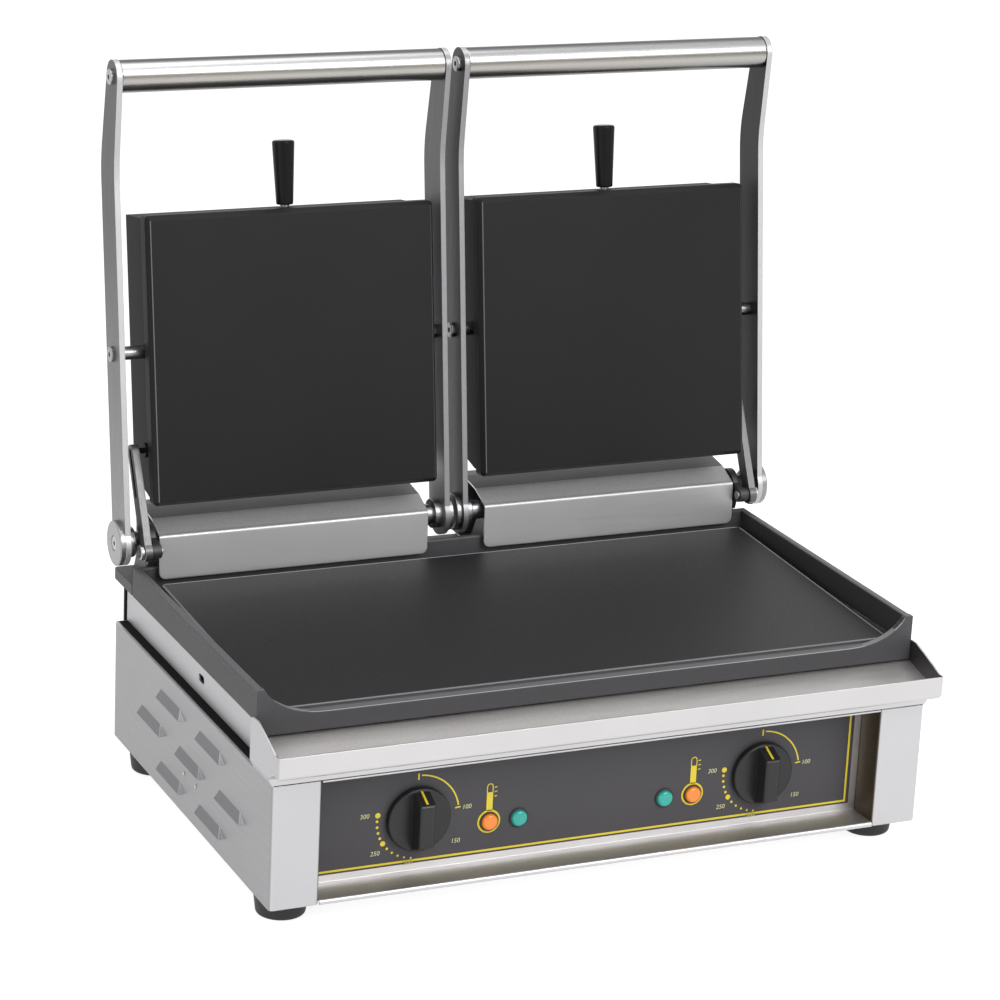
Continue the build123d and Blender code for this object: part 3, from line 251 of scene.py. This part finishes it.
# Colour, metallic, roughness, variation, grain, grain scale, grain bump, roughness spread and options
finishes = {
    "case_steel": ((0.54, 0.535, 0.55), 0.9, 0.42, 0.03, along_y, 900.0, 0.10, 0.10, steel_wear),
    "body_steel": ((0.52, 0.515, 0.53), 0.6, 0.50, 0.03, along_y, 900.0, 0.10, 0.10, steel_wear),
    "front_steel": ((0.58, 0.57, 0.575), 0.9, 0.40, 0.03, along_x, 900.0, 0.10, 0.10, steel_wear),
    "guard_steel": ((0.50, 0.495, 0.50), 0.7, 0.42, 0.03, along_x, 900.0, 0.08, 0.10, guard_wear_and_fold_highlight),
    "arm_steel": ((0.50, 0.495, 0.50), 0.85, 0.42, 0.04, along_z, 900.0, 0.10, 0.10,
                  {"wear": (0.70, 0.70, 0.70)}),
    "bar_steel": ((0.86, 0.85, 0.845), 0.95, 0.28, 0.03, along_x, 900.0, 0.04, 0.08, steel_wear),
    "turned_steel": ((0.29, 0.29, 0.295), 1.0, 0.30, 0.05, even, 300.0, 0.06, 0.10, steel_wear),
    "bracket_steel": ((0.055, 0.053, 0.054), 0.5, 0.45, 0.10, even, 300.0, 0.1, 0.1,
                      {"wear": (0.20, 0.20, 0.20)}),
    "stay_steel": ((0.135, 0.135, 0.137), 0.9, 0.40, 0.05, along_z, 600.0, 0.1, 0.1,
                   {"wear": (0.4, 0.4, 0.4)}),
    "screw_steel": ((0.42, 0.42, 0.42), 1.0, 0.30, 0.10, even, 500.0, 0.1, 0.15, steel_wear),
    "spring_steel": ((0.06, 0.06, 0.06), 0.8, 0.40, 0.10, wound, 1.0, 0.3, 0.1, {}),
    "cast_black": ((0.036, 0.035, 0.037), 0.0, 0.50, 0.12, even, 700.0, 0.35, 0.12,
                   {"wear": (0.36, 0.355, 0.36), "wear_radius": 1.2, "wear_amount": 1.0,
                    "bump_distance": 0.0002, "specular": 0.33}),
    "cast_face": ((0.0095, 0.0088, 0.0097), 0.0, 0.50, 0.12, even, 500.0, 0.25, 0.10,
                  {"wear": (0.05, 0.05, 0.05), "wear_amount": 0.5,
                   "bump_distance": 0.0002, "specular": 0.20}),
    "dark_base": ((0.034, 0.033, 0.036), 0.1, 0.48, 0.12, even, 500.0, 0.25, 0.12,
                  {"wear": (0.16, 0.16, 0.16), "wear_amount": 0.5}),
    "fascia_film": ((0.063, 0.060, 0.066), 0.0, 0.42, 0.04, even, 1400.0, 0.08, 0.06, {"specular": 0.30}),
    "black_paint": ((0.0110, 0.0105, 0.0115), 0.0, 0.52, 0.12, even, 1500.0, 0.25, 0.1,
                    {"wear": (0.05, 0.05, 0.05), "wear_radius": 0.6, "wear_amount": 0.5, "specular": 0.08}),
    "knob_black": ((0.016, 0.016, 0.017), 0.0, 0.34, 0.10, even, 1200.0, 0.2, 0.1,
                   {"wear": (0.06, 0.06, 0.06), "wear_radius": 0.6, "wear_amount": 0.4, "specular": 0.4}),
    "grip_black": ((0.0045, 0.0045, 0.005), 0.0, 0.30, 0.12, even, 900.0, 0.12, 0.1,
                   {"wear": (0.03, 0.03, 0.03), "wear_radius": 0.6, "wear_amount": 0.4, "specular": 0.14}),
    # Painted shade: near-black ledge seals stand for the shade in the gap between the upper body and the
    # case's side panels
    "painted_shade_seal": ((0.006, 0.006, 0.006), 0.0, 0.65, 0.15, even, 900.0, 0.3, 0.15, {"specular": 0.06}),
    "foot_rubber": ((0.012, 0.012, 0.012), 0.0, 0.60, 0.15, even, 900.0, 0.3, 0.15, {}),
    "moulding": ((0.03, 0.03, 0.03), 0.0, 0.55, 0.10, even, 700.0, 0.2, 0.1, {}),
    "element_tube": ((0.20, 0.18, 0.17), 0.7, 0.50, 0.20, even, 120.0, 0.3, 0.15, {}),
    "insulation": ((0.62, 0.58, 0.50), 0.0, 0.90, 0.15, even, 400.0, 0.8, 0.1, {"bump_distance": 0.001}),
    "print_yellow": ((0.78, 0.62, 0.03), 0.0, 0.45, 0.05, even, 900.0, 0.05, 0.05, {}),
    "print_pale": ((0.70, 0.66, 0.35), 0.0, 0.45, 0.05, even, 900.0, 0.05, 0.05, {}),
    "lens_orange": ((0.80, 0.20, 0.01), 0.0, 0.16, 0.15, even, 900.0, 0.4, 0.10, {"bump_distance": 0.0003}),
    "lens_green": ((0.0, 0.30, 0.25), 0.0, 0.16, 0.15, even, 900.0, 0.4, 0.10, {"bump_distance": 0.0003}),
}
materials = {name: surface(name, *values, **options) for name, (*values, options) in finishes.items()}

for name, glow in (("lens_orange", (0.9, 0.25, 0.02)), ("lens_green", (0.0, 0.45, 0.36))):
    shader = materials[name].node_tree.nodes["Principled BSDF"]
    shader.inputs["Coat Weight"].default_value = 0.6
    shader.inputs["Emission Color"].default_value = (*glow, 1.0)
    shader.inputs["Emission Strength"].default_value = 0.25


# Painted light and shade: brushed faces that look sideways, folds, inner walls and cast edges are coloured
# lighter or darker than the fronts; the light lines on the cast edges are partly wear

def paint_shade_on_case(material):
    """Painted shade: darker side walls, darker tops of the louvers and dark, warm-tinted return walls beside
    the fascia.
    """
    tree = material.node_tree
    # Painted shade: side walls darker than the fronts
    recolour(material, facing(tree, "X"), (0.305, 0.302, 0.31))
    # Painted shade: the sloped faces of the louvers darker still
    louver_top_shade = common(tree, facing(tree, "X", 0.3, 0.5), facing(tree, "Z", 0.3, 0.45))
    recolour(material, louver_top_shade, (0.20, 0.197, 0.205))
    # Painted shade: the return walls beside the fascia dark and warm-tinted
    return_wall_shade = common(tree, near_middle(tree, 0.2590, 0.2600), facing(tree, "X"))
    recolour(material, return_wall_shade, (0.110, 0.088, 0.062))


def paint_shade_on_front(material):
    """Painted shade: darker top faces, end faces and cheeks' inner faces."""
    tree = material.node_tree
    # Painted shade: top faces darker than the fronts
    recolour(material, facing(tree, "Z", 0.85, 0.95), (0.50, 0.485, 0.475))
    # Painted shade: end faces darker than the fronts
    recolour(material, facing(tree, "X"), (0.44, 0.435, 0.45))
    # Painted shade: the cheeks' inner faces, inside the gutter, near black
    recolour(material, turned_inwards(tree, -0.25, -0.20), (0.10, 0.095, 0.095))


def paint_reflection_on_guards(material):
    """Painted reflection: the slope above the fold painted light and the flat top painted dark."""
    tree = material.node_tree
    # Painted highlight: the slope above the fold near white
    recolour(material, beyond(tree, "Z", 0.2275, 0.2290), (0.78, 0.775, 0.79))
    # Painted reflection: the flat top dark, like the dark plate above mirrored in it
    recolour(material, facing(tree, "Z", 0.95, 0.975), (0.13, 0.128, 0.13))


def paint_shade_on_arms(material):
    """Painted shade: broad faces darker, darker again towards the top and inwards, and the front edges of the
    inner arms.
    """
    tree = material.node_tree
    # Painted shade: broad side faces darker than the fronts
    recolour(material, facing(tree, "X"), (0.24, 0.235, 0.24))
    # Painted shade: the broad faces darker again towards the top
    upper_half_shade = beyond(tree, "Z", 0.25, 0.50)
    recolour(material, common(tree, upper_half_shade, facing(tree, "X")), (0.095, 0.093, 0.096))
    # Painted shade: faces turned inwards near black, the inner arms' a little lighter
    inwards = turned_inwards(tree, -0.004, -0.002)
    recolour(material, inwards, (0.028, 0.027, 0.028))
    inner_arms = near_middle(tree, 0.050, 0.060)
    recolour(material, common(tree, inner_arms, inwards), (0.055, 0.053, 0.055))
    # Painted shade: the front edges of the inner arms darker than the other fronts
    recolour(material, common(tree, inner_arms, facing(tree, "Y")), (0.27, 0.265, 0.275))


def colour_lower_plate(material):
    """Rims, front step, the lines along the edges and the sunken cook face; the front and rear faces get
    painted light, and the lines along the front and rear edges are partly wear, partly painted highlight.
    """
    tree = material.node_tree
    # Painted light: front and rear faces lighter than the rest of the black casting
    recolour(material, facing(tree, "Y"), (0.066, 0.064, 0.068))
    front_step = common(tree, short_of(tree, "Y", -0.1620, -0.1610), facing(tree, "Z", 0.90, 0.97))
    recolour(material, front_step, (0.115, 0.112, 0.116))
    # Light line along the front top edge: partly wear, partly painted highlight
    wear_and_highlight_front_line = common(tree, short_of(tree, "Y", -0.1709, -0.1706), facing(tree, "Z", 0.4, 0.6))
    recolour(material, wear_and_highlight_front_line, (0.36, 0.355, 0.36))
    level = facing(tree, "Z", 0.35, 0.5)
    recolour(material, common(tree, beyond(tree, "Z", 0.1955, 0.1960), level), (0.105, 0.102, 0.107))
    high = beyond(tree, "Z", 0.1742, 0.1746)
    before_hinge = short_of(tree, "Y", 0.1133, 0.1140)
    within_rims = common(tree, near_middle(tree, 0.2855, 0.2858), short_of(tree, "Y", 0.1160, 0.1163),
                         high, level)
    recolour(material, within_rims, (0.17, 0.167, 0.172))
    # Light line along the cook face's rear edge: partly wear, partly painted highlight
    wear_and_highlight_rear_line = common(tree, within_rims, calculate(tree, "SUBTRACT", 1.0, before_hinge))
    recolour(material, wear_and_highlight_rear_line, (0.42, 0.415, 0.42))
    cook_face = common(tree, near_middle(tree, 0.2825, 0.2830), beyond(tree, "Y", -0.1615, -0.1605),
                       before_hinge, level, high)
    recolour(material, cook_face, (0.0105, 0.0100, 0.0113))


def colour_upper_plates(material):
    """A light line down the upright edges, next to the cook face: partly wear, partly painted highlight."""
    tree = material.node_tree
    fronts = [face for face in nodes["left_upper_plate"].data.polygons if face.normal.y < -0.9]
    front = max(fronts, key=lambda face: face.area)
    position = tree.nodes.new("ShaderNodeTexCoord").outputs["Object"]
    height = dot_product(tree, position, front.normal)
    depth = calculate(tree, "SUBTRACT", front.normal.dot(front.center), height)
    corner = calculate(tree, "MULTIPLY", component(tree, "Normal", "X"), component(tree, "Normal", "Y"))
    corner = span(tree, calculate(tree, "ABSOLUTE", corner), 0.0, 1.0, 0.38, 0.44)
    # Light line on the chamfers beside the cook face: partly wear, partly painted highlight
    line = common(tree, corner, span(tree, depth, 1.0, 0.0, 0.0007, 0.0010))
    recolour(material, line, (0.19, 0.185, 0.19))


paint_shade_on_case(materials["case_steel"])
paint_shade_on_front(materials["front_steel"])
paint_reflection_on_guards(materials["guard_steel"])
paint_shade_on_arms(materials["arm_steel"])
colour_lower_plate(materials["cast_black"])
colour_upper_plates(materials["cast_face"])

# Painted reflection bands on the bars: height of the surface's normal, from below to above, and the colour
# there
bar_reflection_bands = [
    (-1.0, (0.14, 0.14, 0.14)), (-0.55, (0.34, 0.335, 0.33)), (-0.35, (0.44, 0.43, 0.41)),
    (-0.12, (0.52, 0.51, 0.475)), (0.08, (0.34, 0.33, 0.30)), (0.20, (0.11, 0.105, 0.095)),
    (0.35, (0.50, 0.49, 0.48)), (0.50, (0.66, 0.66, 0.67)), (0.68, (0.50, 0.50, 0.51)),
    (0.84, (0.50, 0.50, 0.51)), (0.95, (0.12, 0.12, 0.12)), (1.0, (0.07, 0.07, 0.07)),
]
paint_reflection_bands(materials["bar_steel"], bar_reflection_bands)

base_pieces = {
    "case_steel": ("side_panel_left", "side_panel_right", "bottom_pan", "back_panel", "heat_shield"),
    "body_steel": ("upper_body",),
    "front_steel": ("fascia_panel", "front_gutter"),
    "guard_steel": ("guard_left", "guard_right"),
    "fascia_film": ("fascia_film",),
    "black_paint": ("rear_cover",),
    "cast_black": ("lower_plate",),
    "dark_base": ("hinge_base",),
    "bracket_steel": ("hinge_brackets",),
    "spring_steel": ("torsion_springs",),
    "element_tube": ("lower_elements",),
    "screw_steel": ("element_clamps", "case_screws", "side_rivets", "stay_pivot_pins"),
    "insulation": ("insulation_pad",),
    "moulding": ("thermostats", "terminal_block", "lamp_housings", "cord_gland"),
    "lens_orange": ("lenses_orange",),
    "lens_green": ("lenses_green",),
    "foot_rubber": ("feet",),
    "painted_shade_seal": ("ledge_seals",),
}
side_pieces = {
    "arm_steel": ("arm_outer", "arm_inner"),
    "bar_steel": ("handle_bar",),
    "turned_steel": ("hinge_shaft", "shaft_collars", "hinge_discs", "pivot_studs", "grip_rod"),
    "screw_steel": ("lid_screws",),
    "cast_face": ("upper_plate",),
    "black_paint": ("plate_cover",),
    "element_tube": ("upper_element",),
    "grip_black": ("grip",),
    "stay_steel": ("stay",),
    "knob_black": ("knob",),
}
assigned = {piece: material for material, pieces in base_pieces.items() for piece in pieces}
for side in sides:
    for material, pieces in side_pieces.items():
        assigned.update({side + "_" + piece: material for piece in pieces})
for name, node in nodes.items():
    node.data.materials.clear()
    node.data.materials.append(materials[assigned[name]])


# Flat shapes of the print, in millimetres: lists of (x, z) points, and faces

def ribbon(path, width):
    """A flat line along a path."""
    verts = []
    for index, point in enumerate(path):
        before = path[max(index - 1, 0)]
        after = path[min(index + 1, len(path) - 1)]
        run = (after[0] - before[0], after[1] - before[1])
        length = math.hypot(*run)
        side_step = (-run[1] / length * width / 2, run[0] / length * width / 2)
        verts.append((point[0] + side_step[0], point[1] + side_step[1]))
        verts.append((point[0] - side_step[0], point[1] - side_step[1]))
    faces = [(2 * i, 2 * i + 1, 2 * i + 3, 2 * i + 2) for i in range(len(path) - 1)]
    return verts, faces


def disc(centre, radius, count=24):
    """A filled circle."""
    turns = [2 * math.pi * i / count for i in range(count)]
    verts = [(centre[0] + radius * math.cos(a), centre[1] + radius * math.sin(a)) for a in turns]
    return verts, [tuple(range(count))]


def ring(centre, inner, outer, count=48):
    """A flat ring."""
    verts = []
    for index in range(count):
        a = 2 * math.pi * index / count
        for radius in (inner, outer):
            verts.append((centre[0] + radius * math.cos(a), centre[1] + radius * math.sin(a)))
    faces = [(2 * i, 2 * i + 1, (2 * i + 3) % (2 * count), (2 * i + 2) % (2 * count)) for i in range(count)]
    return verts, faces


def polar(centre, radius, degrees):
    """A point at an angle clockwise from the top."""
    a = math.radians(degrees)
    return (centre[0] + radius * math.sin(a), centre[1] + radius * math.cos(a))


def join_shapes(shapes):
    """Joins shapes into one list of points and one of faces."""
    verts = []
    faces = []
    for shape_verts, shape_faces in shapes:
        start = len(verts)
        verts.extend(shape_verts)
        faces.extend(tuple(index + start for index in face) for face in shape_faces)
    return verts, faces


# Pieces

def new_piece(name, mesh, material, body):
    """An object with its material that rides on a body."""
    piece = bpy.data.objects.new(name, mesh)
    bpy.context.scene.collection.objects.link(piece)
    mesh.materials.clear()
    mesh.materials.append(materials[material])
    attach(piece, body)


def mesh_piece(name, verts, faces, material, body):
    """A piece made of points, in metres, and faces."""
    mesh = bpy.data.meshes.new(name)
    mesh.from_pydata([tuple(v) for v in verts], [], faces)
    mesh.validate()
    new_piece(name, mesh, material, body)


def print_on_fascia(name, shapes):
    """Flat shapes laid on the fascia in one colour."""
    verts, faces = join_shapes(shapes)
    mesh_piece(name, [(x * MM, print_y, z * MM) for x, z in verts], faces, "print_yellow", "base")


def number(text, x, z, name):
    """A number of the dial, turned into mesh and laid on the fascia."""
    curve = bpy.data.curves.new(name, "FONT")
    curve.body = text
    curve.size = number_size * MM
    curve.shear = number_slant
    curve.align_x = "CENTER"
    curve.align_y = "CENTER"
    curve.resolution_u = 3
    source = bpy.data.objects.new(name + "_source", curve)
    bpy.context.scene.collection.objects.link(source)
    bpy.context.view_layer.update()
    mesh = bpy.data.meshes.new_from_object(source)
    bpy.data.objects.remove(source)
    upright = Matrix.Rotation(math.radians(90), 4, "X")
    mesh.transform(Matrix.Translation((x * MM, print_y, z * MM)) @ upright)
    new_piece(name, mesh, "print_pale", "base")


film_low, film_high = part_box("fascia_film")
print_y = film_low[1] - 0.06 * MM

# Scales round the knobs: radii and widths in mm, angles clockwise from the top
number_size = 5.67
number_slant = 0.12
mark_outer = 39.0
start_mark_inner, start_mark_width = 33.5, 1.4
end_mark_inner, end_mark_width, end_mark_angle = 34.0, 1.2, 83
arc_radius, arc_width, arc_start, arc_turn, arc_steps = 37.2, 1.3, 4, 76, 24
dots_radius = 35.8
dots = ((187, 0.9), (197, 0.9), (207, 1.0), (217, 1.0), (227, 1.1), (237, 2.3), (246, 1.2), (254.5, 1.2),
        (263, 1.2), (271.5, 1.2), (280, 2.4))
numbers = (("100", 85, 44.5), ("150", 126, 43.5), ("200", 190, 40.5), ("250", 233, 46.0), ("300", 278, 47.5))


def dial(centre, name):
    """Printed scale round one knob: start mark, line, end mark, dots and numbers."""
    arc = [polar(centre, arc_radius, arc_start + arc_turn * i / arc_steps) for i in range(arc_steps + 1)]
    shapes = [ribbon([polar(centre, start_mark_inner, 0), polar(centre, mark_outer, 0)], start_mark_width)]
    shapes.append(ribbon(arc, arc_width))
    end_mark = [polar(centre, radius, end_mark_angle) for radius in (end_mark_inner, mark_outer)]
    shapes.append(ribbon(end_mark, end_mark_width))
    for degrees, radius in dots:
        shapes.append(disc(polar(centre, dots_radius, degrees), radius))
    print_on_fascia(name + "_scale", shapes)
    for text, degrees, radius in numbers:
        x, z = polar(centre, radius, degrees)
        number(text, x, z, name + "_number_" + text)


for name in sides:
    low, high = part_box(name + "_knob")
    dial(((low[0] + high[0]) / 2 / MM, (low[2] + high[2]) / 2 / MM), name + "_dial")

# Thermometer signs above the orange lamps, in mm from the lamp's middle
bulb_gap, bulb_width = 1.3, 2.0
stem_width, stem_top = 5.6, 26
tube_radius, tube_top, tube_line = 2.6, 31, 0.8
tick_start, tick_stop, tick_low, tick_rise, tick_step = 4, 6.5, 22, 0.4, 4
lamp_low, lamp_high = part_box("lenses_orange")
lamp_z = (lamp_low[2] + lamp_high[2]) / 2 / MM
lamp_radius = (lamp_high[2] - lamp_low[2]) / 2 / MM
for name, x in (("left", lamp_low[0] / MM + lamp_radius), ("right", lamp_high[0] / MM - lamp_radius)):
    bulb = lamp_radius + bulb_gap
    outline = [(x - tube_radius, lamp_z + stem_top), (x - tube_radius, lamp_z + tube_top)]
    for step in range(9):
        a = math.pi * step / 8
        outline.append((x - tube_radius * math.cos(a), lamp_z + tube_top + tube_radius * math.sin(a)))
    outline.append((x + tube_radius, lamp_z + stem_top))
    shapes = [ring((x, lamp_z), bulb, bulb + bulb_width)]
    shapes.append(ribbon([(x, lamp_z + lamp_radius + 2.4), (x, lamp_z + stem_top)], stem_width))
    shapes.append(ribbon(outline, tube_line))
    for step in range(3):
        z = lamp_z + tick_low + tick_step * step
        shapes.append(ribbon([(x + tick_start, z), (x + tick_stop, z + tick_rise)], tube_line))
    print_on_fascia(name + "_thermometer", shapes)

# Border line along the bottom and right of the film
border_width = 1.8
half_border = border_width / 2
border_z = film_low[2] / MM + 2.6
border_x = film_high[0] / MM - 4.0
shapes = [ribbon([(film_low[0] / MM, border_z), (border_x + half_border, border_z)], border_width),
          ribbon([(border_x, border_z + half_border), (border_x, film_high[2] / MM)], border_width)]
print_on_fascia("border_line", shapes)

# Pointer inlays on the sloped ends of the knob grips: depth behind the front, part of the radius
pointer_ends = ((0.0157, 0.925), (0.0022, 0.695))
pointer_half_width = 0.0010
pointer_lift = 0.0003
for name in sides:
    low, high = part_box(name + "_knob")
    x = (low[0] + high[0]) / 2
    z = (low[2] + high[2]) / 2
    radius = (high[0] - low[0]) / 2
    verts = [(x + step, low[1] + depth, z + radius * part + pointer_lift)
             for depth, part in pointer_ends for step in (-pointer_half_width, pointer_half_width)]
    mesh_piece(name + "_pointer", verts, [(0, 1, 3, 2)], "print_yellow", name + "_dial")


# Floor, world, lights and camera

def seen_directly(tree):
    """White for what the camera sees, also in a reflection or through glass."""
    path = tree.nodes.new("ShaderNodeLightPath")
    value = path.outputs["Is Camera Ray"]
    for name in ("Is Glossy Ray", "Is Transmission Ray"):
        value = calculate(tree, "MAXIMUM", value, path.outputs[name])
    return value


def mix_shaders(tree, unseen, seen, target):
    """Feeds a target one shader for light that bounces and another for what is seen."""
    mix = tree.nodes.new("ShaderNodeMixShader")
    tree.links.new(seen_directly(tree), mix.inputs["Fac"])
    tree.links.new(unseen, mix.inputs[1])
    tree.links.new(seen, mix.inputs[2])
    tree.links.new(mix.outputs["Shader"], target)


floor_reach = 12.0
corners = [(-floor_reach, -floor_reach, 0), (floor_reach, -floor_reach, 0), (floor_reach, floor_reach, 0),
           (-floor_reach, floor_reach, 0)]
floor_mesh = bpy.data.meshes.new("floor")
floor_mesh.from_pydata(corners, [], [(0, 1, 2, 3)])
floor = bpy.data.objects.new("floor", floor_mesh)
bpy.context.scene.collection.objects.link(floor)
floor.location.z = -0.2 * MM
floor_material, tree, shader = new_material("floor")
shader.inputs["Base Color"].default_value = (0.84, 0.84, 0.84, 1)
shader.inputs["Roughness"].default_value = 0.9
shader.inputs["Specular IOR Level"].default_value = 0.1
faint = tree.nodes.new("ShaderNodeBsdfDiffuse")
faint.inputs["Color"].default_value = (0.40, 0.40, 0.40, 1)
glow = tree.nodes.new("ShaderNodeEmission")
glow.inputs["Color"].default_value = (1, 1, 1, 1)
glow.inputs["Strength"].default_value = 0.84
total = tree.nodes.new("ShaderNodeAddShader")
tree.links.new(faint.outputs["BSDF"], total.inputs[0])
tree.links.new(glow.outputs["Emission"], total.inputs[1])
output = tree.nodes["Material Output"]
mix_shaders(tree, shader.outputs["BSDF"], total.outputs["Shader"], output.inputs["Surface"])
floor_mesh.materials.append(floor_material)

world = bpy.data.worlds.new("studio")
bpy.context.scene.world = world
world.use_nodes = True
tree = world.node_tree
tree.nodes.clear()
output = tree.nodes.new("ShaderNodeOutputWorld")
backgrounds = []
for strength in (0.55, 1.0):
    background = tree.nodes.new("ShaderNodeBackground")
    background.inputs["Color"].default_value = (1, 1, 1, 1)
    background.inputs["Strength"].default_value = strength
    backgrounds.append(background.outputs["Background"])
mix_shaders(tree, *backgrounds, output.inputs["Surface"])


def area_light(name, location, target, size, power):
    """Square soft box that points at a target."""
    data = bpy.data.lights.new(name, "AREA")
    data.shape = "RECTANGLE"
    data.size = size
    data.size_y = size
    data.energy = power
    lamp = bpy.data.objects.new(name, data)
    lamp.location = location
    lamp.rotation_euler = (Vector(target) - Vector(location)).to_track_quat("-Z", "Y").to_euler()
    bpy.context.scene.collection.objects.link(lamp)


area_light("key", (0.9, -2.4, 2.1), (0, 0, 0.25), 1.6, 55)
area_light("top", (-0.2, 0.1, 2.6), (0, 0, 0.2), 1.8, 22)
area_light("fill", (-2.6, -1.2, 1.2), (0, 0, 0.25), 1.6, 14)

azimuth = math.radians(25.0)
elevation = math.radians(17.95)
roll = math.radians(2.81)
distance = 2.971
target = Vector((-0.0248, -0.01631863, 0.2833))
focal_pixels = 3459.0
picture_pixels = 1000.0
level_part = math.cos(elevation)
back = Vector((-math.sin(azimuth) * level_part, -math.cos(azimuth) * level_part, math.sin(elevation)))
right = Vector((math.cos(azimuth), -math.sin(azimuth), 0))
up = right.cross(-back)
axis_x = math.cos(roll) * right + math.sin(roll) * up
axis_y = -math.sin(roll) * right + math.cos(roll) * up
camera_data = bpy.data.cameras.new("camera")
camera_data.sensor_width = 36.0
camera_data.sensor_fit = "HORIZONTAL"
camera_data.lens = focal_pixels / picture_pixels * camera_data.sensor_width
camera = bpy.data.objects.new("camera", camera_data)
rotation = Matrix((axis_x, axis_y, back)).transposed().to_4x4()
camera.matrix_world = Matrix.Translation(target + back * distance) @ rotation
bpy.context.scene.collection.objects.link(camera)
bpy.context.scene.camera = camera
bpy.context.scene.view_settings.view_transform = "Standard"
